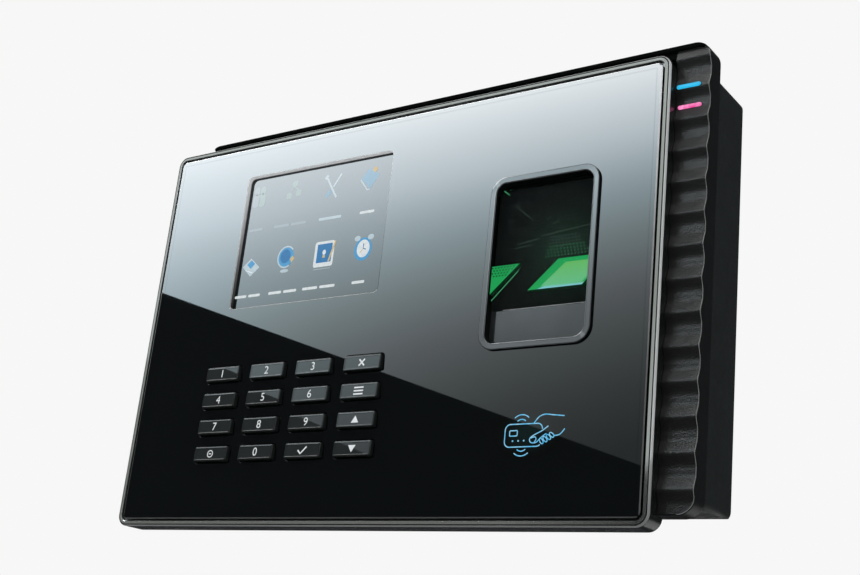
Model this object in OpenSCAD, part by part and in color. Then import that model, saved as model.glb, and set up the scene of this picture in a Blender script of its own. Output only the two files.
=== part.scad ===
// Fingerprint scanner terminal on its wall bracket, in millimetres.
// +Z is up, the front faces -Y and the wall is the plane y = 0.
// The origin is the centre of the bracket's back face.
// Every depth is counted from the front panel's face towards the wall.

/* [Front unit] */
// Width of the front unit
front_w = 206.6; // [206:0.2:208]
// Height of the front unit
front_h = 142.5; // [142:0.5:144]
// Depth of the front unit
front_depth = 9.4; // [9.4:0.1:10]
// Corner radius of the front unit
front_r = 4; // [3:0.5:6]
// Sideways offset of the front unit from the origin
front_x = -11; // [-12:0.5:-10]
// Height of the front unit's centre above the origin
front_z = -2; // [-3:0.5:-1]
// Thickness of the acrylic panel
panel_t = 1.6; // [1.4:0.1:1.8]
// Width of the silver trim frame
trim_w = 1.7; // [1.4:0.1:2]
// Gap between the trim frame and the panel
trim_gap = 1.1; // [0.6:0.1:1.4]

/* [Ribbed surround] */
// Width of the ribbed surround
mid_w = 207; // [206:0.5:208]
// Height of the ribbed surround
mid_h = 143; // [142:0.5:144]
// Thickness of the surround's back plate
mid_t = 2.6; // [2:0.1:3]
// Height of the surround's centre above the origin
mid_z = 2.3; // [2:0.1:2.6]
// Distance from one rib to the next
rib_pitch = 10.1; // [8:0.1:13]
// Height of a rib from trough to crest
rib_height = 1.4; // [0.6:0.1:1.8]

/* [Rear housing] */
// Width of the rear housing
rear_w = 204; // [203:0.5:205]
// Height of the rear housing
rear_h = 132.5; // [132:0.5:134]
// Depth of the rear housing
rear_depth = 21; // [21:0.5:24]
// Wall thickness of the mouldings
wall = 2.2; // [2:0.1:2.4]

/* [Keypad] */
// Width of a key face
key_w = 15.1; // [14:0.1:16]
// Height of a key face
key_h = 5.2; // [4.8:0.1:5.8]
// Distance between key columns
key_pitch_x = 20.5; // [20:0.1:21]
// Distance between key rows
key_pitch_z = 9.43; // [9.4:0.01:9.6]
// How far a key stands out of the panel
key_proud = 1.45; // [0.8:0.05:1.6]
// Travel of a key
key_travel = 0.8; // [0.4:0.1:0.8]

/* [Display] */
// Width of the display window
window_w = 65.9; // [60:0.1:66]
// Height of the display window
window_h = 50.8; // [46:0.1:51]

/* [Finger sensor] */
// Outer width of the sensor ring
ring_w = 38.6; // [38:0.1:39]
// Outer height of the sensor ring
ring_h = 56.9; // [56:0.1:57]
// Width of the sensor ring's flange
ring_t = 2.15; // [2:0.05:2.4]
// How far the sensor ring stands out of the panel
ring_proud = 1; // [0.6:0.1:1.2]

/* [Wall bracket] */
// Width of the bracket plate
bracket_w = 130; // [126:1:134]
// Height of the bracket plate
bracket_h = 100; // [96:1:104]
// Distance between wall screw holes sideways
bracket_hole_x = 100; // [96:1:104]
// Distance between wall screw holes up and down
bracket_hole_z = 80; // [78:1:84]
// Radius of a wall screw hole
bracket_hole_r = 2.25; // [1.75:0.25:2.5]
// How far the terminal lifts to come off the hooks
lift = 5.5; // [5.5:0.1:5.6]

/* [Hidden] */
$fn = 48;
KEY_NAMES = ["1", "2", "3", "esc", "4", "5", "6", "menu", "7", "8", "9", "up", "power", "0", "ok", "down"];

// Depths of the stack, from the front face to the wall.
wall_front = panel_t;                      // front wall of the front case
wall_back = panel_t + 2;
mid_back = front_depth + mid_t;
rear_back = mid_back + rear_depth;
back_wall = rear_back - 2;                 // inner face of the rear housing's back
plate_front = rear_back + 1;               // front face of the bracket plate
total_depth = rear_back + 2.5;
board_front = back_wall - 13;              // main board
board_back = board_front + 1.6;

// The opening that runs through the chassis and the surround.
bay_x0 = -99;
bay_x1 = 88;
bay_z = 63;

// Places on the front unit, from its own centre.
window_x = -31.3;
window_z = 31.3;
first_key_x = -61.5;
first_key_z = -18.6;
ring_x = 63.1;
ring_z = 10.4;
sensor_sill = -4.7;                        // top edge of the plate under the platen
tray_x = 63;
tray_w = 44;
tray_h = 59;
antenna_x = 62;
antenna_z = -43;

// Places on the whole terminal.
case_bosses = [for (x = [-93, 5, 84]) for (z = [-58, 58]) [x, z]];
board_posts = [for (x = [-82, 18]) for (z = [-46, 44]) [x, z]];
hook_spots = [for (x = [-55, 55]) for (z = [-28, 28]) [x, z]];
cable_bay = [[-44, -34], [16, -4]];
lock_x = -30;
lock_depth = rear_back - 6;
tamper_spot = [38, -24];
speaker_spot = [85, -30];
usb_z = 8;
usb_depth = board_back + 3.6;

small_gap = 0.05;                          // between pieces that touch lightly
fit_gap = 0.25;                            // around a key or a trim piece

// Position along Y of a depth.
function at(depth) = depth - total_depth;

// Depth of the ribbed surface at a height above the origin.
rib_mean = 4.6;
rib_phase = -59.9;
function rib_depth(z) = rib_mean + rib_height / 2 * sin(360 * (z - rib_phase) / rib_pitch);

// Outline with round corners, centred.
module rounded(w, h, r) {
  square([w - 2 * r, h], center = true);
  square([w, h - 2 * r], center = true);
  for (x = [-1, 1]) for (z = [-1, 1]) translate([x * (w / 2 - r), z * (h / 2 - r)]) circle(r);
}

// Outline drawn as seen from the front, filled between two depths.
module slab(d0, d1) {
  translate([0, at(d1), 0]) rotate([90, 0, 0]) linear_extrude(d1 - d0) children();
}

// Profile of [y, z] points, run along X from x0 to x1.
module run_x(x0, x1) {
  translate([x0, 0, 0]) rotate([90, 0, 90]) linear_extrude(x1 - x0) children();
}

// Round post or hole along the depth.
module post(x, z, r, d0, d1) {
  slab(d0, d1) translate([x, z]) circle(r);
}

// Box between two corners seen from the front, and two depths.
module block(low, high, d0, d1) {
  slab(d0, d1) translate(low) square(high - low);
}

module on_front() {
  translate([front_x, 0, front_z]) children();
}

// ---- Wall bracket ----

hook_w = 8;
hook_tip = 5;
hook_neck = 2;
hook_depth = back_wall - 1.7;
lock_tab_z = -54;
lock_tab_t = 1.5;

module bracket_hook(x, z) {
  block([x - hook_w / 2, z - hook_neck], [x + hook_w / 2, z - small_gap], hook_depth, plate_front);
  block([x - hook_w / 2, z - hook_neck], [x + hook_w / 2, z + hook_tip], hook_depth, back_wall - 0.2);
}

module wall_bracket() color("#9a9fa3") {
  tab_w = 16;
  tongue_w = 22;
  tab_reach = lock_depth - 5;
  difference() {
    union() {
      slab(plate_front, total_depth) rounded(bracket_w, bracket_h, 6);
      block([lock_x - tongue_w / 2, lock_tab_z - lock_tab_t], [lock_x + tongue_w / 2, 0], plate_front, total_depth);
      block([lock_x - tab_w / 2, lock_tab_z - lock_tab_t], [lock_x + tab_w / 2, lock_tab_z], tab_reach, total_depth);
      for (spot = hook_spots) bracket_hook(spot.x, spot.y);
    }
    block(cable_bay[0], cable_bay[1], plate_front - 1, total_depth + 1);
    for (x = [-1, 1]) for (z = [-1, 1])
      post(x * bracket_hole_x / 2, z * bracket_hole_z / 2, bracket_hole_r, plate_front - 1, total_depth + 1);
    translate([lock_x, at(lock_depth), lock_tab_z - lock_tab_t - 1]) cylinder(r = 1.65, h = lock_tab_t + 2);
  }
}

rear_floor = -rear_h / 2 + 0.8;            // underside of the rear housing at the lock screw

module security_screw() color("#b9bcbe") {
  head_r = 2.9;
  head_h = 1.8;
  translate([lock_x, at(lock_depth), rear_floor]) difference() {
    union() {
      cylinder(r = head_r, h = head_h);
      cylinder(r = 1.5, h = 15.5);
    }
    translate([0, 0, -0.1]) cylinder(r = 1.3, h = 1.3, $fn = 6);
  }
}

// ---- Rear housing ----

usb_mouth = [7.6, 14];                     // depth and height of the port opening
usb_hinge_z = usb_z + 10;
usb_hinge_out = 1.5;

module rear_shell() {
  draft_top = 1.1;
  draft_bottom = 1;
  difference() {
    intersection() {
      slab(mid_back, rear_back) rounded(rear_w, rear_h, 3);
      run_x(-rear_w / 2 - 1, rear_w / 2 + 1) polygon([
        [at(mid_back), -rear_h / 2],
        [at(rear_back), -rear_h / 2 + draft_bottom],
        [at(rear_back), rear_h / 2 - draft_top],
        [at(mid_back), rear_h / 2]]);
    }
    slab(mid_back - 1, back_wall) rounded(rear_w - 2 * wall, rear_h - 6.5, 2);
  }
}

module usb_hinge_ears() {
  ear_t = 1.6;
  side = -rear_w / 2;
  for (offset = [-5.6 - ear_t, 5.6])
    translate([side - usb_hinge_out, at(usb_depth) + offset, usb_hinge_z]) rotate([-90, 0, 0]) {
      cylinder(r = 1.3, h = ear_t);
      translate([0, -1.3, 0]) cube([usb_hinge_out + 0.5, 2.6, ear_t]);
    }
}

module rear_housing() color("#1f2422") {
  lock_boss_h = 4.2;
  lock_recess = 2;
  difference() {
    union() {
      rear_shell();
      for (b = case_bosses) post(b.x, b.y, 3.6, mid_back + 0.6, back_wall + 0.5);
      for (b = board_posts) post(b.x, b.y, 3, board_back, back_wall + 0.5);
      translate([lock_x, at(lock_depth), rear_floor]) cylinder(r = 4.4, h = lock_boss_h);
      post(tamper_spot.x, tamper_spot.y, 2.6, back_wall - 1.4, back_wall + 0.5);
      usb_hinge_ears();
    }
    for (b = case_bosses) post(b.x, b.y, 1.7, mid_back, rear_back + 1);
    for (b = case_bosses) post(b.x, b.y, 3.1, back_wall, rear_back + 1);
    for (b = board_posts) post(b.x, b.y, 1.5, board_back - 1, board_back + 8);
    for (h = hook_spots)
      block([h.x - hook_w / 2 - 1, h.y - 8], [h.x + hook_w / 2 + 1, h.y], back_wall - 1, rear_back + 1);
    block(cable_bay[0], cable_bay[1], back_wall - 1, rear_back + 1);
    block([lock_x - 10, lock_tab_z - 8.5], [lock_x + 10, lock_tab_z + 1.5], back_wall - 1, rear_back + 1);
    translate([lock_x, at(lock_depth), rear_floor - 2]) cylinder(r = 1.7, h = 10);
    translate([lock_x, at(lock_depth), rear_floor - 2]) cylinder(r = 3.1, h = lock_recess + 2);
    post(tamper_spot.x, tamper_spot.y, 1.55, back_wall - 3, rear_back + 1);
    for (i = [-3:3])
      block([speaker_spot.x - 7, speaker_spot.y + 2.4 * i - 0.6], [speaker_spot.x + 7, speaker_spot.y + 2.4 * i + 0.6],
            back_wall - 1, rear_back + 1);
    translate([-rear_w / 2 - 1, at(usb_depth) - usb_mouth[0] / 2, usb_z - usb_mouth[1] / 2])
      cube([wall + 2, usb_mouth[0], usb_mouth[1]]);
    translate([-rear_w / 2 - usb_hinge_out, at(usb_depth) - 9, usb_hinge_z]) rotate([-90, 0, 0]) cylinder(r = 0.55, h = 18);
  }
}

module usb_cover() color("#16181a") {
  flap_t = 1.6;
  flap_w = 10.8;
  clear = 0.15;
  side = -rear_w / 2;
  flap_bottom = usb_z - 9;
  difference() {
    union() {
      translate([side - clear - flap_t, at(usb_depth) - flap_w / 2, flap_bottom])
        cube([flap_t, flap_w, usb_hinge_z - flap_bottom - 0.6]);
      translate([side - usb_hinge_out, at(usb_depth) - flap_w / 2, usb_hinge_z])
        rotate([-90, 0, 0]) cylinder(r = 1.2, h = flap_w);
      translate([side - clear - 0.1, at(usb_depth) - 3.3, usb_z - 6.2]) cube([0.9, 6.6, 12.4]);
    }
    translate([side - usb_hinge_out, at(usb_depth) - flap_w / 2 - 1, usb_hinge_z])
      rotate([-90, 0, 0]) cylinder(r = 0.55, h = flap_w + 2);
  }
  translate([side - usb_hinge_out, at(usb_depth) - 7.2, usb_hinge_z]) rotate([-90, 0, 0]) cylinder(r = 0.5, h = 14.4);
}

// ---- Ribbed surround ----

bar_x = 93;
bar_w = 7.6;
bar_h = 1.3;
bar_blue_z = 59.3;
bar_pink_z = 53.1;
status_back = 7.6;

module rib_profile() {
  steps = 12;
  reach = mid_h / 2 + 2;
  count = ceil(2 * reach / rib_pitch * steps);
  polygon(concat(
    [[at(front_depth + 0.5), mid_z - reach], [at(rib_depth(mid_z - reach)), mid_z - reach]],
    [for (i = [1:count]) let (z = mid_z - reach + 2 * reach * i / count) [at(rib_depth(z)), z]],
    [[at(front_depth + 0.5), mid_z + reach]]));
}

module mid_housing() color("#1c1c1c") {
  mid_r = 5.5;
  difference() {
    union() {
      slab(front_depth, mid_back) translate([0, mid_z]) rounded(mid_w, mid_h, mid_r);
      intersection() {
        run_x(bay_x0, mid_w / 2 + 1) rib_profile();
        slab(2, front_depth + 0.3) translate([0, mid_z]) rounded(mid_w, mid_h, mid_r);
      }
    }
    block([bay_x0, -bay_z], [bay_x1, bay_z], 1, mid_back + 1);
    slab(1, front_depth) translate([front_x, front_z]) rounded(front_w + 0.2, front_h + 0.2, front_r + 0.1);
    block([bar_x - 0.1, 50], [bar_x + bar_w + 0.1, 62.6], status_back - 0.2, mid_back + 1);
    for (z = [bar_blue_z, bar_pink_z])
      block([bar_x - small_gap, z - bar_h / 2 - small_gap], [bar_x + bar_w + small_gap, z + bar_h / 2 + small_gap],
            2, status_back);
  }
}

module status_bar(z) {
  block([bar_x, z - bar_h / 2], [bar_x + bar_w, z + bar_h / 2], rib_depth(z) - 0.4, status_back);
}

module status_bar_blue() color("#29c0f2") status_bar(bar_blue_z);

module status_bar_pink() color("#ea4fa0") status_bar(bar_pink_z);

module status_board() color("#1c5b3a") block([bar_x + 0.2, 50.4], [bar_x + bar_w - 0.2, 62.2], status_back, status_back + 1.2);

// ---- Front unit ----

module front_case() color("#101314") {
  rim = wall;
  difference() {
    union() {
      on_front() slab(1.2, front_depth) difference() {
        rounded(front_w, front_h, front_r);
        rounded(front_w - 2 * rim, front_h - 2 * rim, front_r - rim);
      }
      on_front() slab(wall_front, wall_back) rounded(front_w - rim, front_h - rim, front_r - rim / 2);
      for (b = case_bosses) post(b.x, b.y, 3.4, wall_back - 0.5, mid_back + 0.5);
    }
    on_front() {
      block([window_x - 35, window_z - 27.5], [window_x + 35, window_z + 27.5], 1, wall_back + 1);
      slab(1, wall_back + 1) translate([tray_x, ring_z]) rounded(tray_w + 0.4, tray_h + 0.4, 3.2);
      for (col = [0:3]) for (row = [0:3])
        slab(1, wall_back + 1) translate([first_key_x + col * key_pitch_x, first_key_z - row * key_pitch_z])
          square([key_w + 2.6, key_h + 2.6], center = true);
    }
    for (b = case_bosses) post(b.x, b.y, 1.5, wall_back + 1.5, mid_back + 1);
  }
}

module front_chassis() color("#2a2d2f") {
  inset = wall + 0.1;
  slab(front_depth - 1.8, front_depth) difference() {
    translate([front_x, front_z]) rounded(front_w - 2 * inset, front_h - 2 * inset, front_r - wall);
    translate([bay_x0, -bay_z]) square([bay_x1 - bay_x0, 2 * bay_z]);
  }
}

module bezel_frame() color("#9aa09c") {
  on_front() slab(0, 1.2) difference() {
    rounded(front_w, front_h, front_r);
    rounded(front_w - 2 * trim_w, front_h - 2 * trim_w, front_r - trim_w);
  }
}

module front_panel() color("#4c5053") {
  edge = 2 * (trim_w + trim_gap);
  on_front() slab(0, panel_t) difference() {
    rounded(front_w - edge, front_h - edge, front_r - 1.4);
    translate([window_x, window_z]) rounded(window_w, window_h, 1.8);
    translate([ring_x, ring_z]) rounded(ring_w - 1.4, ring_h - 1.4, 4.7);
    for (col = [0:3]) for (row = [0:3])
      translate([first_key_x + col * key_pitch_x, first_key_z - row * key_pitch_z])
        rounded(key_w + 2 * fit_gap, key_h + 2 * fit_gap, 0.7);
  }
}

// ---- Display ----

lcd_front = panel_t + small_gap;
lcd_back = lcd_front + 1.5;
lcd_frame_front = wall_back;
lcd_frame_back = front_depth - 2.2;

module lcd_panel() color("#8fa3aa") {
  on_front() slab(lcd_front, lcd_back) translate([window_x, window_z]) square([69.6, 54.6], center = true);
}

module lcd_backlight() color("#e6e9e6") {
  on_front() slab(lcd_back, lcd_frame_back - 0.6) translate([window_x, window_z]) square([69, 54], center = true);
}

module lcd_frame() color("#a7abad") {
  on_front() translate([0, 0, window_z]) difference() {
    slab(lcd_frame_front, lcd_frame_back) translate([window_x, 0]) rounded(76, 61, 1.5);
    slab(lcd_frame_front - 1, lcd_frame_back - 0.6) translate([window_x, 0]) square([69.2, 54.2], center = true);
  }
}

module lcd_ribbon() color("#c98a2b") {
  strip = 0.3;
  top = 6;
  fold = -5;
  x0 = window_x + front_x - 10;
  y0 = at(lcd_frame_back);
  run_x(x0, x0 + 20) polygon([
    [y0, top], [y0, fold], [at(board_front), fold], [at(board_front), fold + strip],
    [y0 + strip, fold + strip], [y0 + strip, top]]);
}

// ---- Keypad ----

flange_front = panel_t + 0.1;
flange_back = flange_front + 0.8;
stem_tip = flange_back + 2;
switch_top = stem_tip + key_travel + small_gap;

module key_at(index) {
  col = index % 4;
  row = floor(index / 4);
  translate([front_x + first_key_x + col * key_pitch_x, 0, front_z + first_key_z - row * key_pitch_z]) children();
}

module key_cap() {
  bevel = 0.45;
  intersection() {
    slab(-key_proud, flange_front) rounded(key_w, key_h, 0.5);
    run_x(-key_w, key_w) polygon([
      [at(-key_proud), -key_h / 2 + bevel], [at(-key_proud + bevel), -key_h / 2],
      [at(flange_front), -key_h / 2], [at(flange_front), key_h / 2],
      [at(-key_proud + bevel), key_h / 2], [at(-key_proud), key_h / 2 - bevel]]);
    translate([0, 0, -key_h]) linear_extrude(2 * key_h) polygon([
      [-key_w / 2 + bevel, at(-key_proud)], [key_w / 2 - bevel, at(-key_proud)],
      [key_w / 2, at(-key_proud + bevel)], [key_w / 2, at(flange_front)],
      [-key_w / 2, at(flange_front)], [-key_w / 2, at(-key_proud + bevel)]]);
  }
  slab(flange_front, flange_back) square([key_w + 2, key_h + 2], center = true);
  slab(flange_back, stem_tip) square([3, 3], center = true);
}

module key(index) color("#2c3032") key_at(index) key_cap();

switch_body = switch_top + 0.5;
keypad_board_front = switch_body + 2.2;

module tact_switches() color("#5c6064") {
  for (index = [0:15]) key_at(index) {
    slab(switch_body, keypad_board_front) square([6.2, 6.2], center = true);
    slab(switch_top, switch_body) circle(1.7);
  }
}

module keypad_board() color("#1c5b3a") {
  margin = 10.5;
  on_front() slab(keypad_board_front, keypad_board_front + 1.2) difference() {
    translate([first_key_x - margin, first_key_z - 3 * key_pitch_z - 6])
      square([3 * key_pitch_x + 2 * margin, 3 * key_pitch_z + 12]);
    for (x = [0.5, 2.5]) for (z = [0.5, 2.5])
      translate([first_key_x + x * key_pitch_x, first_key_z - z * key_pitch_z]) circle(1.2);
  }
}

// ---- Finger sensor ----

well_w = ring_w - 2 * ring_t;
well_h = ring_h - 2 * ring_t;
well_top = ring_z + well_h / 2;
tray_front = panel_t + 0.5;
platen_front = tray_front + 0.5;
platen_back = platen_front + 1.5;
glow_front = platen_back + 0.2;
glow_back = glow_front + 1.6;

module sensor_bezel() color("#a9b0b2") {
  collar_w = ring_w - 1.5;
  collar_h = ring_h - 1.5;
  on_front() difference() {
    union() {
      slab(-ring_proud, 0) translate([ring_x, ring_z]) rounded(ring_w, ring_h, 5.5);
      slab(-0.1, tray_front) translate([ring_x, ring_z]) rounded(collar_w, collar_h, 4.65);
    }
    slab(-ring_proud - 1, tray_front + 1) translate([ring_x, ring_z]) rounded(well_w, well_h, 4);
    block([ring_x - collar_w, sensor_sill + 1.5], [ring_x, well_top - 3], 0.3, tray_front + 1);
  }
}

// Opening in the tray that the platen looks through.
module platen_outline(grow) {
  low = sensor_sill;
  high = well_top + 0.6;
  left = ring_x - well_w / 2 - 3.6;
  right = ring_x + well_w / 2;
  translate([(left + right) / 2, (low + high) / 2]) rounded(right - left + 2 * grow, high - low + 2 * grow, 3 + grow);
}

module sensor_tray() color("#4a4f51") {
  on_front() difference() {
    union() {
      slab(tray_front, wall_back + 0.2) translate([tray_x, ring_z]) rounded(tray_w, tray_h, 3);
      slab(wall_back, wall_back + 1.6) translate([tray_x, ring_z]) rounded(tray_w + 3, tray_h + 3, 3);
    }
    slab(tray_front - 1, platen_front) platen_outline(0);
    slab(platen_front - 0.1, platen_back) platen_outline(0.4);
    slab(platen_back - 0.1, wall_back + 3) platen_outline(-0.6);
  }
}

module sensor_platen() color("#1d3a2c") {
  on_front() slab(platen_front, platen_back) platen_outline(0.35);
}

// Two lit strips, cut on a slant by the dark bar between them.
module sensor_light_guide() color("#35b565") {
  low = 1.9;
  high = 11.1;
  left = ring_x - well_w / 2 - 2.8;
  right = ring_x + well_w / 2 - 1.6;
  slant = 1.1 * (high - low);
  left_foot = 43.2;
  right_foot = 57;
  corner = 2.8;
  on_front() slab(glow_front, glow_back) {
    polygon([[left, low], [left_foot, low], [left_foot + slant, high], [left, high]]);
    polygon([[right_foot, low], [right - corner, low], [right, low + corner], [right, high], [right_foot + slant, high]]);
  }
}

prism_front = glow_back + 0.3;
prism_apex = prism_front + 14;

module sensor_prism() color("#203a30") {
  low = -3;
  high = 35;
  middle = (low + high) / 2;
  on_front() run_x(ring_x - 15, ring_x + 15) polygon([
    [at(prism_front), low], [at(prism_apex), middle], [at(prism_front), high]]);
}

// Plate parallel to one of the prism's two slanting faces.
module beside_prism(side, near, far, reach) {
  lean = atan2(19, 14);
  on_front() translate([ring_x, at((prism_front + prism_apex) / 2), 16 + side * 9.5]) rotate([-side * lean, 0, 0])
    translate([-14, -reach / 2, side > 0 ? near : -far]) cube([28, reach, far - near]);
}

module sensor_led_board() color("#1c5b3a") beside_prism(-1, 1.2, 2.4, 18);

module sensor_camera() color("#303437") {
  camera_depth = prism_apex - 3;
  on_front() {
    block([ring_x - 6, 26], [ring_x + 6, 34], camera_depth + 2, camera_depth + 3.2);
    post(ring_x, 30, 3.2, camera_depth - 1.4, camera_depth + 2);
  }
}

module sensor_housing() color("#15181a") {
  back = prism_apex + 3;
  on_front() translate([0, 0, ring_z]) difference() {
    slab(wall_back + 1.6, back) translate([tray_x - 0.5, 4]) rounded(44, 50, 2);
    slab(wall_back + 1, back - 1.4) translate([tray_x - 0.5, 4]) rounded(41.6, 47.6, 1);
    block([ring_x - 6, -16], [ring_x + 6, -12], back - 2, back + 1);
  }
}

module sensor_cable() color("#c98a2b") {
  depth = prism_apex + 3.3;
  on_front() {
    block([ring_x - 5, -6.4], [ring_x + 5, -1.6], depth, depth + 0.4);
    block([35, -6.4], [ring_x - 5, -1.6], depth, depth + 0.4);
  }
}

// ---- Card reader ----

module card_antenna_board() color("#1c5b3a") {
  on_front() slab(wall_back + 1.4, wall_back + 2.6) translate([antenna_x, antenna_z]) rounded(54, 32, 1.5);
}

module card_antenna_coil() color("#c9803c") {
  turns = 5;
  on_front() slab(wall_back + 1.2, wall_back + 1.4) translate([antenna_x, antenna_z])
    for (i = [0:turns - 1]) difference() {
      rounded(51 - 2.4 * i, 29 - 2.4 * i, 1.5);
      rounded(50 - 2.4 * i, 28 - 2.4 * i, 1);
    }
}

// ---- Main board and what stands on it ----

module main_board() color("#1c5b3a") {
  slab(board_front, board_back) difference() {
    translate([-88, -52]) square([112, 102]);
    for (b = board_posts) translate(b) circle(1.6);
  }
}

module board_chips() color("#1a1c1e") {
  block([-64, 16], [-48, 32], board_front - 1.4, board_front);
  block([-38, 18], [-26, 30], board_front - 1.2, board_front);
  block([-16, 14], [-4, 22], board_front - 1.2, board_front);
  block([-60, -30], [-52, -22], board_front - 1.6, board_front);
  block([-44, -40], [-32, -32], board_front - 3, board_front);
  block([-52.5, -8.2], [-32.1, -5.2], board_front - 1.8, board_front);
  for (x = [-72, -64, 4]) post(x, -42, 3.1, board_front - 7, board_front);
}

module coin_cell() color("#b9bcbe") post(-4, -22, 8, board_front - 5, board_front - 1.8);

module cell_holder() color("#26292b") {
  difference() {
    post(-4, -22, 9.6, board_front - 5.4, board_front);
    post(-4, -22, 8.1, board_front - 6, board_front - 1.7);
    block([-14, -34], [6, -25], board_front - 6, board_front - 1.7);
  }
}

jack_x = 4;
jack_top = -6;
jack_len = 16;

module network_jack() color("#a7abad") {
  back = board_back + 12.4;
  difference() {
    block([jack_x - 8, jack_top - jack_len], [jack_x + 8, jack_top], board_back, back);
    block([jack_x - 5.9, jack_top - jack_len - 1], [jack_x + 5.9, jack_top - 3], board_back + 2.2, back - 3.4);
    block([jack_x - 3, jack_top - jack_len - 1], [jack_x + 3, jack_top - 3], board_back + 2.2, back - 1.6);
  }
}

module usb_port() color("#b4b8ba") {
  x0 = -rear_w / 2 + wall + 0.2;
  x1 = x0 + 14;
  wide = 13.2;
  tall = 5.9;
  skin = 0.4;
  difference() {
    translate([x0, at(usb_depth) - tall / 2, usb_z - wide / 2]) cube([x1 - x0, tall, wide]);
    translate([x0 - 1, at(usb_depth) - tall / 2 + skin, usb_z - wide / 2 + skin]) cube([x1 - x0, tall - 2 * skin, wide - 2 * skin]);
  }
  translate([x0 + 1.5, at(usb_depth) - 2, usb_z - 5.6]) cube([x1 - x0 - 1.5, 1.8, 11.2]);
}

module terminal_blocks() color("#2c7a4b") {
  pitch = 5;
  for (first = [-42, -25]) difference() {
    block([first, -17], [first + 3 * pitch, -6], board_back, board_back + 9.6);
    for (i = [0:2]) {
      block([first + i * pitch + 1, -18], [first + i * pitch + 4, -10], board_back + 1.4, board_back + 4.6);
      post(first + (i + 0.5) * pitch, -11, 1.7, board_back + 6, board_back + 11);
    }
  }
}

module tamper_switch() color("#303437") {
  block(tamper_spot - [3.2, 3.2], tamper_spot + [3.2, 3.2], back_wall - 10, back_wall - 5.4);
  block(tamper_spot - [16, 4], tamper_spot + [5, 4], back_wall - 11, back_wall - 10);
}

module tamper_plunger() color("#d8d8d2") {
  post(tamper_spot.x, tamper_spot.y, 1.45, back_wall - 2.6, plate_front - 0.2);
  post(tamper_spot.x, tamper_spot.y, 2.4, back_wall - 3.4, back_wall - 1.6);
}

module speaker() color("#3a3d40") {
  difference() {
    union() {
      post(speaker_spot.x, speaker_spot.y, 10, back_wall - 1.6, back_wall);
      post(speaker_spot.x, speaker_spot.y, 6.5, back_wall - 6, back_wall - 1.6);
    }
    post(speaker_spot.x, speaker_spot.y, 8.6, back_wall - 1, back_wall + 1);
  }
}

// ---- Fasteners ----

module case_screws() color("#b9bcbe") {
  for (b = case_bosses) difference() {
    union() {
      post(b.x, b.y, 2.8, back_wall + small_gap, rear_back - 0.3);
      post(b.x, b.y, 1.45, wall_back + 3, back_wall + 1);
    }
    post(b.x, b.y, 0.9, rear_back - 1.2, rear_back + 1, $fn = 6);
  }
}

module board_screws() color("#b9bcbe") {
  for (b = board_posts) difference() {
    union() {
      post(b.x, b.y, 2.8, board_front - 1.8, board_front);
      post(b.x, b.y, 1.45, board_front - 1, board_back + 7);
    }
    block(b - [0.4, 2], b + [0.4, 2], board_front - 2, board_front - 1);
    block(b - [2, 0.4], b + [2, 0.4], board_front - 2, board_front - 1);
  }
}

wall_bracket();
security_screw();
rear_housing();
mid_housing();
front_case();
front_chassis();
bezel_frame();
front_panel();
lcd_panel();
lcd_backlight();
lcd_frame();
lcd_ribbon();
keypad_board();
tact_switches();
sensor_bezel();
sensor_tray();
sensor_platen();
sensor_light_guide();
sensor_prism();
sensor_led_board();
sensor_camera();
sensor_housing();
sensor_cable();
card_antenna_board();
card_antenna_coil();
main_board();
board_chips();
network_jack();
usb_port();
terminal_blocks();
coin_cell();
cell_holder();
speaker();
status_bar_blue();
status_bar_pink();
status_board();
tamper_switch();
tamper_plunger();
usb_cover();
case_screws();
board_screws();
for (index = [0:15]) key(index);
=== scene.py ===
import math

import bpy
from mathutils import Matrix, Vector


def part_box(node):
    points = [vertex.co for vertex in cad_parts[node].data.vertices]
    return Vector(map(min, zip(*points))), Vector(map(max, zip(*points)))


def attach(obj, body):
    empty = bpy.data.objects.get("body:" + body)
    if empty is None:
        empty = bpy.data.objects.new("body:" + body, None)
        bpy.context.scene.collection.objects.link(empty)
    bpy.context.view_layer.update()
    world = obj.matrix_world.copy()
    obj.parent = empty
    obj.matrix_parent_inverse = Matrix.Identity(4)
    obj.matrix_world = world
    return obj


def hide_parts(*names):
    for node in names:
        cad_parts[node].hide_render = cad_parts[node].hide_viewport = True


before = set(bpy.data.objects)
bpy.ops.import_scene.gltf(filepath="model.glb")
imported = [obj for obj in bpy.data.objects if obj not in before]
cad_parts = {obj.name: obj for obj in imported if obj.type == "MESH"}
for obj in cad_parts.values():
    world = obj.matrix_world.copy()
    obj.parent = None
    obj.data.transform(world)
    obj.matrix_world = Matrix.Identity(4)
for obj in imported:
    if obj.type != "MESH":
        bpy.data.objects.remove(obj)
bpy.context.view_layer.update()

# Shapes are made in millimetres in the row frame: +X right, +Z up, and the front faces -Y.
MM = 0.001


class Span:
    """A CAD node's box in millimetres."""

    def __init__(self, node):
        low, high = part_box(node)
        self.x0, self.y0, self.z0 = (v / MM for v in low)
        self.x1, self.y1, self.z1 = (v / MM for v in high)
        self.w, self.h = self.x1 - self.x0, self.z1 - self.z0
        self.cx, self.cz = (self.x0 + self.x1) / 2, (self.z0 + self.z1) / 2

    def place(self):
        return self.cx, self.cz, self.w, self.h


PANEL = Span("front_panel")
TRIM = Span("bezel_frame")
CASE = Span("front_case")
MID = Span("mid_housing")
RING = Span("sensor_bezel")
LCD = Span("lcd_panel")
FACE = PANEL.y0  # y of the panel's polished face

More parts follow.
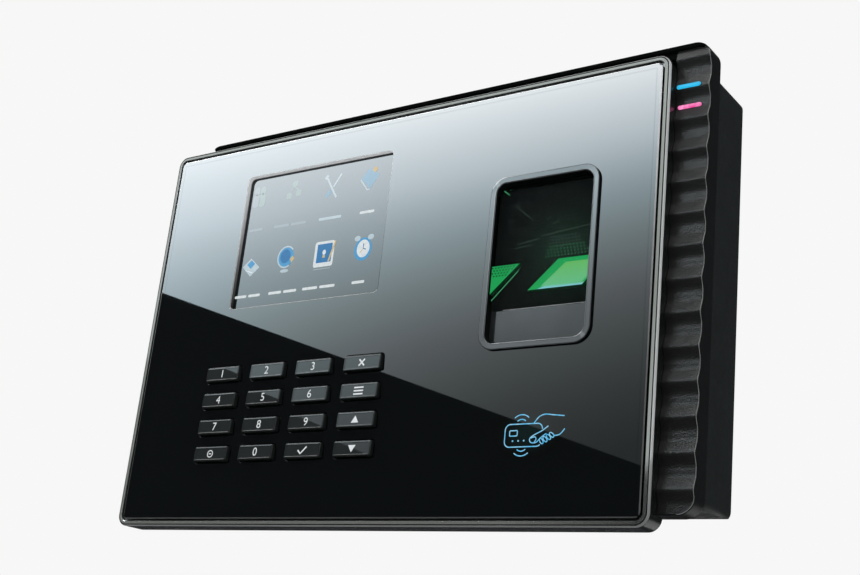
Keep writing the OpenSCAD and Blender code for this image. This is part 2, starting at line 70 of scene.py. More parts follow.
TRIM_R = 4.0  # corner radius of the front unit
PANEL_R = 1.4  # corner radius of the acrylic sheet
CASE_DEPTH = 9.4  # from the panel's face to the back of the front unit's wall
RIBS_DEPTH = 9.3  # from the panel's face to the back of the ribbed blocks
WINDOW = (TRIM.cx - 31.3, TRIM.cz + 31.3, 65.9, 50.8)  # centre, width and height of the display opening
WINDOW_R = 1.8
RING_R = 5.5
KEY_GAP = 0.25  # clearance between a key and its opening
KEY_NAMES = ("1", "2", "3", "esc", "4", "5", "6", "menu", "7", "8", "9", "up", "power", "0", "ok", "down")
KEY_R = 0.6  # corner radius of a key's face

RIB_PITCH = 10.1
RIB_HEIGHT = 1.4
RIB_MEAN = 4.6  # from the panel's face back to the middle of the ribs
RIB_PHASE = -59.9  # a height at which the CAD's wave crosses its middle
RIB_EDGE = 0.55  # from the surround's outline to the flat of the ribs
RIB_RISE = 0.6  # part of each period that the longer flank above a crest takes
RIB_SLOPE = 0.48  # the part of a period in which that flank slopes
RIB_RIPPLE = 0.03  # a slight waviness of that flank
RIM = 1.5  # height of the plain rim above the ribs
RIM_BACK = 0.3  # how far the rim stands behind the surround's foremost crest
RIB_FOOT = RIB_PHASE + (RIB_RISE - 1.25) * RIB_PITCH  # the surface is flat below this height


def rib_y(z):
    """Front of the ribbed surface at a height. The crests are crisp and the valleys are wide."""
    if z > MID.z1 - RIM:
        return MID.y0 + RIM_BACK
    z = max(z, RIB_FOOT)
    above = ((z - RIB_PHASE) / RIB_PITCH - 0.75) % 1
    on_rise = above < RIB_RISE
    turn = min(above / RIB_SLOPE, 1) if on_rise else 1 + (above - RIB_RISE) / (1 - RIB_RISE)
    dip = (math.sin(math.pi * turn / 2) ** 2 + 0.015) ** 0.65
    ripple = RIB_RIPPLE * math.sin(2 * math.tau * above / RIB_RISE) if on_rise else 0
    return FACE + RIB_MEAN - RIB_HEIGHT / 2 + RIB_HEIGHT * dip + ripple


# ---- Materials ----

class Tree:
    """The nodes of a material, or of the world, while it is being made."""

    def __init__(self, name, kind=bpy.data.materials):
        self.made = kind.new(name)
        self.made.use_nodes = True
        self.nodes, self.links = self.made.node_tree.nodes, self.made.node_tree.links
        self.nodes.clear()

    def add(self, kind, inputs=None, output=0, **settings):
        """Makes a node and returns one of its outputs. An input is another node's output or a plain value."""
        node = self.nodes.new("ShaderNode" + kind)
        for name, value in settings.items():
            setattr(node, name, value)
        for name, value in (inputs or {}).items():
            if isinstance(value, bpy.types.NodeSocket):
                self.links.new(value, node.inputs[name])
            else:
                node.inputs[name].default_value = value
        return node.outputs[output] if node.outputs else None

    def finish(self, shader, kind="OutputMaterial"):
        self.add(kind, {"Surface": shader})
        return self.made

    def shade(self, inputs):
        """Ends in a Principled shader with these inputs."""
        return self.finish(self.add("BsdfPrincipled", inputs))

    def in_mm(self):
        """Object coordinates in millimetres, so that a pattern has its real size."""
        return self.add("Mapping", {"Vector": self.add("TexCoord", output="Object"), "Scale": (1 / MM,) * 3})

    def noise(self, where, size, detail=3.0):
        """Noise whose features are about size millimetres across."""
        return self.add("TexNoise", {"Vector": where, "Scale": 1 / size, "Detail": detail}, "Fac")

    def between(self, value, low, high, frm=(0.3, 0.7)):
        return self.add("MapRange", {"Value": value, "From Min": frm[0], "From Max": frm[1],
                                     "To Min": low, "To Max": high}, "Result")

    def mix(self, amount, first, second, blend="MIX"):
        """Mixes two colours. Each is another node's output or a list of three."""
        pair = [c if isinstance(c, bpy.types.NodeSocket) else (*c, 1) for c in (first, second)]
        return self.add("Mix", {0: amount, 6: pair[0], 7: pair[1]}, 2, data_type="RGBA", blend_type=blend)

    def by_height(self, where, stops):
        """A grey tone that changes with height. stops lists (height in millimetres, tone)."""
        low, high = stops[0][0], stops[-1][0]
        height = self.add("SeparateXYZ", {"Vector": where}, "Z")
        ramp = self.add("ValToRGB", {"Fac": self.between(height, 0, 1, (low, high))}, "Color")
        marks = ramp.node.color_ramp.elements
        for i, (level, tone) in enumerate(stops):
            at = (level - low) / (high - low)
            mark = marks[-1] if i == len(stops) - 1 else marks[0] if i == 0 else marks.new(at)
            mark.position = at
            mark.color = (tone, tone, tone, 1)
        return ramp

    def painted(self):
        """The colour that the mesh holds at each point."""
        return self.add("Attribute", output="Color", attribute_name="glow")


def surface(name, color, rough, metallic=0.0, specular=0.5, grain=0.0, grain_size=0.3, grain_depth=0.05,
            mottle=0.12, mottle_size=18.0, rough_change=0.06, alpha=1.0, wear_and_glint=0.0, fade=None, glow=0.0):
    """A moulded, painted or polished surface, with patches of tone, uneven gloss and a fine grain.
    Its sharp edges can be made lighter, partly as rubbed edges and partly as a painted highlight on them.
    fade lists (height in millimetres, tone) for a surface that is lighter towards the top, a painted light,
    and glow makes that tone glow, a painted glow."""
    tree = Tree(name)
    where = tree.in_mm()
    darker, lighter = [c * (1 - mottle) for c in color], [min(c * (1 + mottle), 1) for c in color]
    tone = tree.mix(tree.noise(where, mottle_size), darker, lighter)
    # Sharp edges lighter: partly rubbed edges, partly a painted highlight on them.
    if wear_and_glint:
        edges = tree.between(tree.add("NewGeometry", output="Pointiness"), 0, wear_and_glint, (0.52, 0.62))
        tone = tree.mix(edges, tone, [min(c * 2.5 + 0.03, 1) for c in color])
    if fade:
        tone = tree.mix(1, tone, tree.by_height(where, fade), "MULTIPLY")
    smudges = tree.noise(where, mottle_size * 0.35, 5.0)
    inputs = {"Base Color": tone, "Metallic": metallic, "Specular IOR Level": specular, "Alpha": alpha,
              "Roughness": tree.between(smudges, max(rough - rough_change, 0.004), rough + rough_change)}
    if glow:
        inputs.update({"Emission Color": tone, "Emission Strength": glow})
    if grain:
        inputs["Normal"] = tree.add("Bump", {"Strength": grain, "Distance": grain_depth * MM,
                                             "Height": tree.noise(where, grain_size, 2.0)})
    return tree.shade(inputs)


def lit(name, color, strength=1.0, second=None, size=1.0, base=0.02, rough=0.35, specular=0.2):
    """A lit surface whose glow varies a little from place to place."""
    tree = Tree(name)
    spread = tree.between(tree.noise(tree.in_mm(), size), 0, 1)
    return tree.shade({"Base Color": (*[c * base for c in color], 1), "Roughness": rough,
                       "Specular IOR Level": specular, "Emission Strength": strength,
                       "Emission Color": tree.mix(spread, color, second or [c * 0.82 for c in color])})


def painted_light(name, base=0.01, rough=0.5, specular=0.1):
    """A lit surface whose colour at each point is held by the mesh."""
    tree = Tree(name)
    return tree.shade({"Base Color": (base, base, base, 1), "Roughness": rough,
                       "Specular IOR Level": specular, "Emission Strength": 1.0,
                       "Emission Color": tree.painted()})


def srgb(code):
    """A web colour as linear light."""
    parts = [int(code[i:i + 2], 16) / 255 for i in (1, 3, 5)]
    return [p / 12.92 if p <= 0.04045 else ((p + 0.055) / 1.055) ** 2.4 for p in parts]


def circuit_board(name):
    """Green solder mask over copper tracks, with bare pads."""
    tree = Tree(name)
    where = tree.in_mm()
    upright_map = tree.add("Mapping", {"Vector": where, "Rotation": (math.pi / 2, 0, 0)})
    tracks = tree.add("TexBrick", {"Vector": upright_map, "Scale": 0.22, "Mortar Size": 0.035,
                                   "Color1": (0.012, 0.105, 0.045, 1), "Color2": (0.015, 0.13, 0.055, 1),
                                   "Mortar": (0.03, 0.2, 0.09, 1)}, "Color")
    pads = tree.add("TexVoronoi", {"Vector": where, "Scale": 0.28}, "Distance")
    spots = tree.between(pads, 1, 0, (0.12, 0.15))
    return tree.shade({"Base Color": tree.mix(spots, tracks, (0.75, 0.55, 0.25)), "Roughness": 0.3})


def brushed(name, color, rough):
    """Stamped or turned metal with fine drawn lines."""
    tree = Tree(name)
    lines = tree.noise(tree.add("Mapping", {"Vector": tree.in_mm(), "Scale": (0.08, 3, 3)}), 1.0, 4.0)
    return tree.shade({"Base Color": tree.mix(lines, [c * 0.8 for c in color], color),
                       "Roughness": tree.between(lines, rough - 0.08, rough + 0.1), "Metallic": 1.0})


ACRYLIC_TONE = (0.002, 0.003, 0.0035)
EDGE_GLOW_TONE = (0.9, 0.96, 1.0)
ACRYLIC = surface("panel_acrylic", ACRYLIC_TONE, 0.014, rough_change=0.005, mottle=0.2)
ACRYLIC_LINE = surface("panel_edge_line", ACRYLIC_TONE, 0.014, specular=0.42, rough_change=0.005, mottle=0.2)
# Painted highlight and painted reflection: a light frosted tone on chamfers, lighter towards the top like the
# mirrored softbox, stands for their bright edge lines.
FROSTED_EDGE_HIGHLIGHT = surface("frosted_edge_painted_highlight", (0.95, 0.98, 1.0), 0.4, specular=0.3, mottle=0.1, mottle_size=4,
                  fade=((-73, 0.07), (-30, 0.1), (10, 0.3), (40, 0.65), (69, 0.95)))
# Painted light: the display opening's walls and the lining behind them glow, near black at the bottom and
# light at the top, standing for the light and shade on them.
WINDOW_WALL_GLOW = surface("window_wall_painted_glow", EDGE_GLOW_TONE, 0.35, specular=0.2, mottle=0.15, mottle_size=3,
                      fade=((4, 0.012), (20, 0.1), (38, 0.34), (56, 0.6)), glow=0.4)
GASKET_GLOW = surface("window_gasket_painted_glow", EDGE_GLOW_TONE, 0.5, specular=0.05, mottle=0.15, mottle_size=3,
                 fade=((4, 0.008), (20, 0.05), (38, 0.15), (56, 0.3)), glow=0.5)
SILVER = surface("silver_paint", (0.50, 0.52, 0.51), 0.07, metallic=0.95, grain=0.02, grain_size=0.12,
                 mottle=0.05, mottle_size=5, rough_change=0.01)
# Ring face and case: their lighter sharp edges are partly wear and partly a painted highlight.
RING_FACE = surface("ring_face", (0.034, 0.038, 0.04), 0.07, specular=0.5, grain=0.02, grain_size=0.15,
                    mottle=0.05, rough_change=0.02, wear_and_glint=0.9)
BLACK_GLOSS = surface("case_plastic", (0.006, 0.007, 0.007), 0.22, grain=0.03, wear_and_glint=0.3)
RIB_PLASTIC = surface("rib_plastic", (0.010, 0.010, 0.0095), 0.4, specular=0.29, grain=1.0, grain_size=0.45,
                      grain_depth=0.11, mottle=0.3, mottle_size=1.0)
SURROUND_SIDE = surface("surround_side", (0.007, 0.0075, 0.008), 0.35, specular=0.2, grain=0.2, mottle=0.2)
# Painted highlight: a light tone on the narrow rounding along the surround's crease stands for its glint.
RIB_GLINT = surface("rib_edge_painted_glint", (0.2, 0.21, 0.21), 0.35, specular=0.3, mottle=0.3, mottle_size=2)
# Painted shade: a near-black tone without gloss on the trim's groove, the surround's top strip and the shelf
# above the front unit.
SHADE_BLACK = surface("black_painted_shade", (0.004, 0.0045, 0.0045), 0.5, specular=0.0, grain=0.2, mottle=0.2)
# Painted highlight and painted reflection: the bead's light tone, without gloss, stands for the glint on the
# trim's outer edge; darker near the top and below a step near the foot, like the mirrored softboxes.
TRIM_BEAD_HIGHLIGHT = surface("trim_bead_painted_highlight", (0.52, 0.54, 0.54), 0.4, specular=0.0, mottle=0.06, mottle_size=8,
                    fade=((-74, 0.25), (-70, 0.4), (-56, 0.6), (-54, 1.0), (66, 1.0), (69, 0.6)))
REAR_PLASTIC = surface("rear_plastic", (0.011, 0.014, 0.014), 0.45, grain=0.5, grain_size=0.5,
                       grain_depth=0.08, mottle=0.25, mottle_size=9)
CHASSIS = surface("chassis_plastic", (0.03, 0.032, 0.034), 0.5, grain=0.3)
KEY_PLASTIC = surface("key_plastic", (0.020, 0.023, 0.023), 0.014, rough_change=0.005, specular=0.15,
                      mottle=0.15)
# A rougher copy of the key plastic; its darker tone is painted shade on the keys' bevels and sides.
KEY_SIDE_SHADE = surface("key_side_painted_shade", (0.008, 0.01, 0.01), 0.35, specular=0.14, mottle=0.15)
# White print on the keys that glows: the glow is painted light standing for the lamps' light on the print.
KEY_INK_GLOW = lit("key_ink_painted_glow", (0.66, 0.69, 0.70), size=1.5, base=0.1, rough=0.5)
# Tray: its lighter sharp edges are partly wear and partly a painted highlight.
TRAY = surface("tray_plastic", (0.02, 0.023, 0.024), 0.12, specular=0.4, grain=0.05, mottle=0.08, wear_and_glint=0.9)
# Painted shade: black plastic made darker and almost without gloss, on the walls of the finger well, the
# ring's walls, the key openings and the tray's hidden sides.
WELL_SHADE = surface("well_painted_shade", (0.003, 0.004, 0.004), 0.5, specular=0.06, mottle=0.2)
INNER_BLACK = surface("black_part", (0.012, 0.012, 0.013), 0.5, grain=0.3)
PLATEN = surface("platen_glass", (0.004, 0.01, 0.008), 0.05, specular=0.02, rough_change=0.01, alpha=0.1)
PRISM = surface("prism_glass", (0.003, 0.007, 0.005), 0.2, specular=0.0)
DISPLAY = surface("display_glass", (0.012, 0.014, 0.016), 0.05, specular=0.42, rough_change=0.01)
BACKLIGHT = surface("backlight", (0.8, 0.82, 0.8), 0.5)
STEEL = brushed("frame_steel", (0.62, 0.64, 0.65), 0.3)
SCREW = brushed("screw_steel", (0.55, 0.56, 0.57), 0.32)
POWDER = surface("bracket_steel", (0.36, 0.38, 0.39), 0.45, grain=0.5, grain_size=0.5, mottle=0.08)
FILM = surface("flex_film", (0.5, 0.26, 0.05), 0.3, mottle=0.2, mottle_size=3)
BOARD = circuit_board("circuit_board")
SWITCH = surface("switch_plastic", (0.10, 0.11, 0.12), 0.4, grain=0.2)
COPPER = brushed("copper", (0.75, 0.38, 0.2), 0.3)
TERMINAL_GREEN = surface("terminal_green", (0.03, 0.22, 0.08), 0.45, grain=0.2)
WHITE_PART = surface("plunger_white", (0.7, 0.7, 0.67), 0.4, grain=0.1)
RUBBER = surface("cover_rubber", (0.018, 0.019, 0.02), 0.65, specular=0.25, grain=0.6, grain_size=0.25)
BLUE_BAR = lit("blue_light", srgb("#29c0f2"))
PINK_BAR = lit("pink_light", srgb("#ea3f98"), second=srgb("#ff9fd0"), size=1.4)
GREEN_GLOW = painted_light("green_light", specular=0.0)
HALO = painted_light("symbol_halo", 0.002, 0.014, 0.5)
CYAN_LINE = lit("cyan_light", srgb("#2ba9dc"), second=srgb("#93c8e2"), size=1.2)


# ---- Mesh building ----

def outline(cx, cz, w, h, r, inset=0.0, steps=8, along=0):
    """A rounded rectangle, counter-clockwise from the front, with extra points along its upright sides."""
    r = max(r - inset, 0.02)
    half_w, half_h = w / 2 - inset - r, h / 2 - inset - r
    points = []
    for quarter, (sx, sz) in enumerate(((1, 1), (-1, 1), (-1, -1), (1, -1))):
        for i in range(steps + 1):
            angle = math.pi / 2 * (quarter + i / steps)
            points.append((cx + sx * half_w + r * math.cos(angle), cz + sz * half_h + r * math.sin(angle)))
        if along and quarter in (1, 3):
            for i in range(1, along):
                rise = half_h * (1 - 2 * i / along) * (1 if quarter == 1 else -1)
                points.append((cx + sx * (half_w + r), cz + rise))
    return points


def add_object(name, data):
    """Puts a new object in the scene."""
    made = bpy.data.objects.new(name, data)
    bpy.context.scene.collection.objects.link(made)
    return made


def new_mesh(name, points, faces):
    mesh = bpy.data.meshes.new(name)
    mesh.from_pydata(points, [], faces)
    return mesh


def paint_glow(mesh, colors):
    """Stores a colour at each of the mesh's points. colors lists (point, colour)."""
    paint = mesh.color_attributes.new("glow", "FLOAT_COLOR", "POINT")
    for i, color in colors:
        paint.data[i].color = (*color, 1)


def sheet_faces(columns, rows):
    """Faces of a sheet whose points are listed row by row."""
    wide = columns + 1
    firsts = [i * wide + k for i in range(rows) for k in range(columns)]
    return [(a, a + 1, a + wide + 1, a + wide) for a in firsts]


class Shape:
    """Gathers the faces of one piece, each with the number of its finish."""

    def __init__(self):
        self.points, self.faces, self.finishes, self.glows = [], [], [], {}

    def add_point(self, x, y, z):
        self.points.append((x * MM, y * MM, z * MM))
        return len(self.points) - 1

    def add_face(self, corners, finish=0):
        self.faces.append(corners)
        self.finishes.append(finish)

    def loft(self, rings, closed=False, capped=False, finishes=None):
        """Joins rings of points, each a closed loop of the same length."""
        rows = [[self.add_point(*p) for p in ring] for ring in rings]
        spans = list(zip(rows, rows[1:]))
        if closed:
            spans.append((rows[-1], rows[0]))
        count = len(rows[0])
        for k, (a, b) in enumerate(spans):
            finish = finishes[k] if finishes else 0
            for i in range(count):
                j = (i + 1) % count
                self.add_face([a[i], a[j], b[j], b[i]], finish)
        if capped:
            self.add_face(rows[0][::-1], finishes[0] if finishes else 0)
            self.add_face(rows[-1], finishes[-1] if finishes else 0)

    def band(self, place, r, profile, closed=False, capped=False, along=0, steps=8):
        """Sweeps a profile of (inset, y, finish) round a rounded rectangle. y may depend on x and z."""
        rings = []
        for inset, y, _ in profile:
            ring = outline(*place, r, inset, steps, along)
            rings.append([(x, y(x, z) if callable(y) else y, z) for x, z in ring])
        self.loft(rings, closed, capped, [finish for _, _, finish in profile])

    def grid(self, rows, finish=0):
        """Joins rows of points that don't close."""
        numbers = [[self.add_point(*p) for p in row] for row in rows]
        for a, b in zip(numbers, numbers[1:]):
            for i in range(len(a) - 1):
                self.add_face([a[i], a[i + 1], b[i + 1], b[i]], finish)

    def flat(self, points, y, finish=0, glow=None):
        """One flat face seen from the front. glow gives a colour for each corner."""
        corners = [self.add_point(x, y, z) for x, z in points]
        self.add_face(corners, finish)
        for i, corner in enumerate(corners):
            if glow:
                self.glows[corner] = glow[i]

    def prism(self, points, y0, y1, finish=0):
        """A solid between two depths with a straight side."""
        ends = [[(x, y, z) for x, z in points] for y in (y1, y0)]
        self.loft(ends, capped=True, finishes=[finish] * 2)

    def add_mesh(self, mesh, matrix, finish=0):
        """Takes in a mesh that is already made in millimetres."""
        first = len(self.points)
        for v in mesh.vertices:
            self.points.append(tuple(matrix @ v.co * MM))
        for p in mesh.polygons:
            self.add_face([first + i for i in p.vertices], finish)

    def draw(self, lines, width, y, flatten, finish=0):
        """Round lines pressed flat at a depth. Each line is (points, closed)."""
        self.add_mesh(stroke_mesh(lines, width), upright(y, flatten=flatten), finish)

    def corners(self, face):
        """A face's x, y and z values in millimetres."""
        return [[v / MM for v in axis] for axis in zip(*(self.points[i] for i in face))]

    def build(self, name, body, materials, replaces=(), angle=35, weighted=True):
        mesh = new_mesh(name, self.points, self.faces)
        for material in materials:
            mesh.materials.append(material)
        mesh.polygons.foreach_set("material_index", self.finishes)
        if self.glows:
            paint_glow(mesh, self.glows.items())
        mesh.validate()
        mesh.update()
        mesh.shade_smooth()
        mesh.set_sharp_from_angle(angle=math.radians(angle))
        piece = add_object(name, mesh)
        if weighted:
            even = piece.modifiers.new("even_normals", "WEIGHTED_NORMAL")
            even.keep_sharp = True
        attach(piece, body)
        if replaces:
            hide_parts(*replaces)
        return piece


def mesh_of(curve):
    """The mesh that a curve or text draws."""
    holder = add_object("drawing", curve)
    bpy.context.view_layer.update()
    mesh = bpy.data.meshes.new_from_object(holder.evaluated_get(bpy.context.evaluated_depsgraph_get()))
    bpy.data.objects.remove(holder)
    bpy.data.curves.remove(curve)
    return mesh


def upright(y, cx=0.0, cz=0.0, tilt=0.0, flatten=1.0):
    """Stands a drawing made on XY up against the front, with its centre at (cx, y, cz)."""
    turn = Matrix.Rotation(math.pi / 2 - tilt, 4, "X")
    return Matrix.Translation((cx, y, cz)) @ turn @ Matrix.Diagonal((1, 1, flatten, 1))


def add_lines(curve, lines):
    """Draws straight lines through points. Each line is (points, closed)."""
    for points, closed in lines:
        spline = curve.splines.new("POLY")
        spline.points.add(len(points) - 1)
        spline.use_cyclic_u = closed
        for corner, (x, z) in zip(spline.points, points):
            corner.co = (x, z, 0, 1)


def plate_mesh(outlines, thickness, edge):
    """A plate with holes and softened edges, centred on its own thickness."""
    curve = bpy.data.curves.new("plate", "CURVE")
    curve.dimensions = "2D"
    curve.fill_mode = "BOTH"
    curve.extrude = thickness / 2 - edge
    curve.bevel_depth = edge
    curve.bevel_resolution = 2
    curve.offset = -edge
    add_lines(curve, [(points, True) for points in outlines])
    return mesh_of(curve)


def stroke_mesh(lines, width):
    """Round lines through points. Each line is (points, closed)."""
    curve = bpy.data.curves.new("strokes", "CURVE")
    curve.dimensions = "3D"
    curve.bevel_depth = width / 2
    curve.bevel_resolution = 2
    curve.use_fill_caps = True
    add_lines(curve, lines)
    return mesh_of(curve)


def text_mesh(text, height):
    """Figures of a height. The font's figures are 0.73 of its size."""
    curve = bpy.data.curves.new("text", "FONT")
    curve.body = text
    curve.size = height / 0.73
    curve.align_x, curve.align_y = "CENTER", "CENTER"
    return mesh_of(curve)


def arc(cx, cz, rx, rz, start, end, steps=16):
    """Points on part of an ellipse, by angles in degrees."""
    angles = [math.radians(start + (end - start) * i / steps) for i in range(steps + 1)]
    return [(cx + rx * math.cos(a), cz + rz * math.sin(a)) for a in angles]


def smooth_line(points, steps=6):
    """A smooth line through its points."""
    ends = [points[0], *points, points[-1]]
    made = []
    for i in range(len(points) - 1):
        a, b, c, d = (Vector(p) for p in ends[i:i + 4])
        for k in range(steps):
            t = k / steps
            made.append(tuple(0.5 * (2 * b + (c - a) * t + (2 * a - 5 * b + 4 * c - d) * t ** 2
                                     + (3 * b - a - 3 * c + d) * t ** 3)))
    return [*made, points[-1]]


def box_points(cx, cz, w, h, r):
    """A small rounded rectangle with few points."""
    return outline(cx, cz, w, h, r, steps=4)


def on_front(points, cx=0.0, cz=0.0):
    """Points counted from the front unit's centre, or from a place beside it."""
    return [(TRIM.cx + cx + x, TRIM.cz + cz + z) for x, z in points]


# ---- Front unit ----

def make_panel():
    """The acrylic sheet with its openings, their edges in painted highlight, glow and shade, and a faint line
    round the sheet.
    """
    edge = 0.35
    under_ring = 0.75
    line_from, line_to = 1.2, 1.55
    film = FACE - 0.004
    holes = [outline(*WINDOW, WINDOW_R), outline(*RING.place(), RING_R, under_ring)]
    for name in KEY_NAMES:
        holes.append(outline(*key_spot(name), KEY_R + 0.1, -KEY_GAP))
    mesh = plate_mesh([outline(*PANEL.place(), PANEL_R, -edge), *holes], PANEL.y1 - FACE, edge)
    shape = Shape()
    shape.add_mesh(mesh, upright((FACE + PANEL.y1) / 2))
    for number, face in enumerate(shape.faces):
        xs, ys, zs = shape.corners(face)
        x, z = sum(xs) / len(xs), sum(zs) / len(zs)
        on_rim = max(abs(x - PANEL.cx) - PANEL.w / 2, abs(z - PANEL.cz) - PANEL.h / 2) > -0.05
        by_window = max(abs(x - WINDOW[0]) - WINDOW[2] / 2, abs(z - WINDOW[1]) - WINDOW[3] / 2) < edge + 0.2
        stands = max(ys) - min(ys) > 0.01
        lit_side = x < WINDOW[0] + WINDOW[2] / 2 and z > WINDOW[1] - WINDOW[3] / 2
        # Painted light on the cut edges: the outer chamfers and the display opening's left and top chamfers
        # get the light frosted tone, a painted highlight; the opening's other standing faces a painted glow;
        # the walls of the other openings a painted shade.
        if stands and max(ys) < FACE + edge + 0.01 and (on_rim or by_window and lit_side):
            shape.finishes[number] = 1
        elif stands and not on_rim:
            shape.finishes[number] = 2 if by_window else 4
    shape.band(PANEL.place(), PANEL_R, [(line_from, film, 3), (line_to, film, 3)])
    # The lining from the sheet back to the display carries a painted glow, lighter towards the top.
    shape.band(WINDOW, WINDOW_R, [(-0.03, PANEL.y1 - edge - 0.05, 5), (-0.03, LCD.y0 + 0.05, 5)])
    materials = [ACRYLIC, FROSTED_EDGE_HIGHLIGHT, WINDOW_WALL_GLOW, ACRYLIC_LINE, WELL_SHADE, GASKET_GLOW]
    shape.build("glossy_panel", "terminal", materials, ["front_panel"])


def key_spot(name):
    """Centre and size of a key's face."""
    span = Span("key_" + name)
    flange = 1.0
    return span.cx, span.cz, span.w - 2 * flange, span.h - 2 * flange


def make_trim():
    """An outer bead with a painted highlight, a groove in painted shade and the silver band, whose face is
    tilted a little outwards.
    """
    d = FACE
    band_tilt = math.radians(6)
    start, end = 0.68, 1.56

    def on_band(inset):
        return inset, d + 0.02 + (end - inset) * math.tan(band_tilt), 0

    # Finish 1 is the bead with its painted highlight, 2 the groove in painted shade, 0 the silver band.
    profile = [(0, d + 1.2, 1), (0, d + 0.62, 1), (0.05, d + 0.38, 1), (0.15, d + 0.22, 1),
               (0.26, d + 0.15, 1), (0.36, d + 0.18, 2), (0.42, d + 0.35, 2), (0.64, d + 0.35, 2),
               on_band(start), on_band(start + 0.02), on_band(end - 0.02), on_band(end),
               (1.63, d + 0.08, 0), (1.68, d + 0.2, 0), (1.7, d + 0.5, 0), (1.7, d + 1.2, 0)]
    shape = Shape()
    shape.band(TRIM.place(), TRIM_R, profile, closed=True, steps=12)
    materials = [SILVER, TRIM_BEAD_HIGHLIGHT, SHADE_BLACK]
    shape.build("silver_trim", "terminal", materials, ["bezel_frame"], angle=20)


def make_case():
    """The front unit's rim, the wall behind the panel and six screw bosses."""
    d = FACE
    back = d + CASE_DEPTH
    thick, boss_r = 2.2, 3.4
    rim = [(0.15, d + 1.2, 0), (0, d + 1.4, 0), (0, back - 0.5, 0), (0.15, back - 0.15, 0), (0.5, back, 0),
           (thick, back, 0), (thick, d + 1.2, 0)]
    shape = Shape()
    shape.band(TRIM.place(), TRIM_R, rim, closed=True, steps=12)
    holes = [box_points(WINDOW[0], WINDOW[1], 70, 55, 0.5), outline(RING.cx, RING.cz, 44.4, 59.4, 3.2)]
    for name in KEY_NAMES:
        x, z, w, h = key_spot(name)
        holes.append(box_points(x, z, w + 2.6, h + 2.6, 0.3))
    wall = plate_mesh([outline(*TRIM.place(), TRIM_R, thick - 0.1), *holes], 2.0, 0.1)
    shape.add_mesh(wall, upright(d + 2.6))
    for x in (-93, 5, 84):
        for z in (-58, 58):
            shape.prism(arc(x, z, boss_r, boss_r, 0, 352.5, 47), d + 3.5, CASE.y1)
    shape.build("front_case_shell", "terminal", [BLACK_GLOSS], ["front_case"])


# ---- Ribbed surround ----

SURROUND_R = 5.5
RIB_STEPS = 28  # rows of faces in each rib


def edge_x(z, side):
    """Where the crease runs at a height, on the left (-1) or right (1)."""
    r = SURROUND_R - RIB_EDGE
    over = max(abs(z - MID.cz) - (MID.h / 2 - SURROUND_R), 0)
    return MID.cx + side * (MID.w / 2 - SURROUND_R + math.sqrt(max(r * r - over * over, 0)))


def wave_block(shape, z0, z1, left, right, columns, finish=0):
    """A solid whose front follows the ribs."""
    rows = max(int((z1 - z0) / RIB_PITCH * RIB_STEPS), 4)
    back = FACE + RIBS_DEPTH
    front = []
    for i in range(rows + 1):
        z = z0 + (z1 - z0) * i / rows
        x0, x1 = left(z), right(z)
        front.append([(x0 + (x1 - x0) * k / columns, rib_y(z), z) for k in range(columns + 1)])
    shape.grid(front, finish)
    flat = [[(x, back, z) for x, y, z in row] for row in (front[0], front[-1])]
    shape.grid([flat[0], front[0]])
    shape.grid([front[-1], flat[1]])
    shape.grid([flat[1], flat[0]])
    shape.grid([[(row[0][0], back, row[0][2]), row[0]] for row in front][::-1])
    shape.grid([[row[-1], (row[-1][0], back, row[-1][2])] for row in front][::-1])


def make_surround():
    """The ribbed frame behind the front unit. Its ribs show on the right and along the top."""
    ribs_start = MID.x0 + 2.6
    plain = FACE + RIBS_DEPTH - 0.3
    wall, lip = 4.3, FACE + 10.2

    def front(lift):
        return lambda x, z: (rib_y(z) if x > ribs_start else plain) + lift

    back = MID.y1
    profile = [(RIB_EDGE + 0.4, front(0.3), 0), (RIB_EDGE + 0.06, front(0), 0),
               (RIB_EDGE - 0.06, front(-0.03), 0), (0.36, front(0), 2), (0.2, front(0.06), 1),
               (0.07, front(0.18), 1), (0, front(0.4), 1), (0, back - 0.5, 1), (0.15, back - 0.15, 1),
               (0.5, back, 1), (wall, back, 1), (wall, lip, 1), (2, lip, 1)]
    shape = Shape()
    shape.band(MID.place(), SURROUND_R, profile, closed=True, along=360, steps=12)
    # Left of the front unit's right edge, and along the top of the crease, faces turn to painted shade above
    # the middle and to the side plastic below, so the painted glint stays on the right and bottom of the
    # crease only.
    for number, face in enumerate(shape.faces):
        x, y, z = (v / MM for v in shape.points[face[0]])
        if x < TRIM.x1 or z > MID.z1 - 3 and shape.finishes[number] == 2:
            shape.finishes[number] = 3 if z > 0 else 1
    inner = MID.h / 2 - RIB_EDGE
    shelf = TRIM.z1 + 0.1
    low, high = MID.cz - inner, MID.cz + inner
    wave_block(shape, low, high, lambda z: TRIM.x1 + 0.1, lambda z: edge_x(z, 1), 10)
    # The shelf over the front unit and the block beside the case's corner are in painted shade.
    wave_block(shape, shelf, high, lambda z: max(edge_x(z, -1), ribs_start), lambda z: TRIM.x1 + 0.1, 4, 3)
    beside_case = arc(TRIM.x1 - TRIM_R, TRIM.z1 - TRIM_R, TRIM_R + 0.05, TRIM_R + 0.05, 90, 0)
    shape.prism([*beside_case, (TRIM.x1 + 0.12, TRIM.z1 + 0.12)], MID.y0 + 1.2, FACE + RIBS_DEPTH, 3)
    # The ribs' plain rim along the top is painted shade as well.
    for number, face in enumerate(shape.faces):
        if shape.finishes[number] == 0 and shape.points[face[0]][2] / MM > MID.z1 - RIM - 0.4:
            shape.finishes[number] = 3
    materials = [RIB_PLASTIC, SURROUND_SIDE, RIB_GLINT, SHADE_BLACK]
    shape.build("ribbed_surround", "terminal", materials, ["mid_housing"], angle=50)


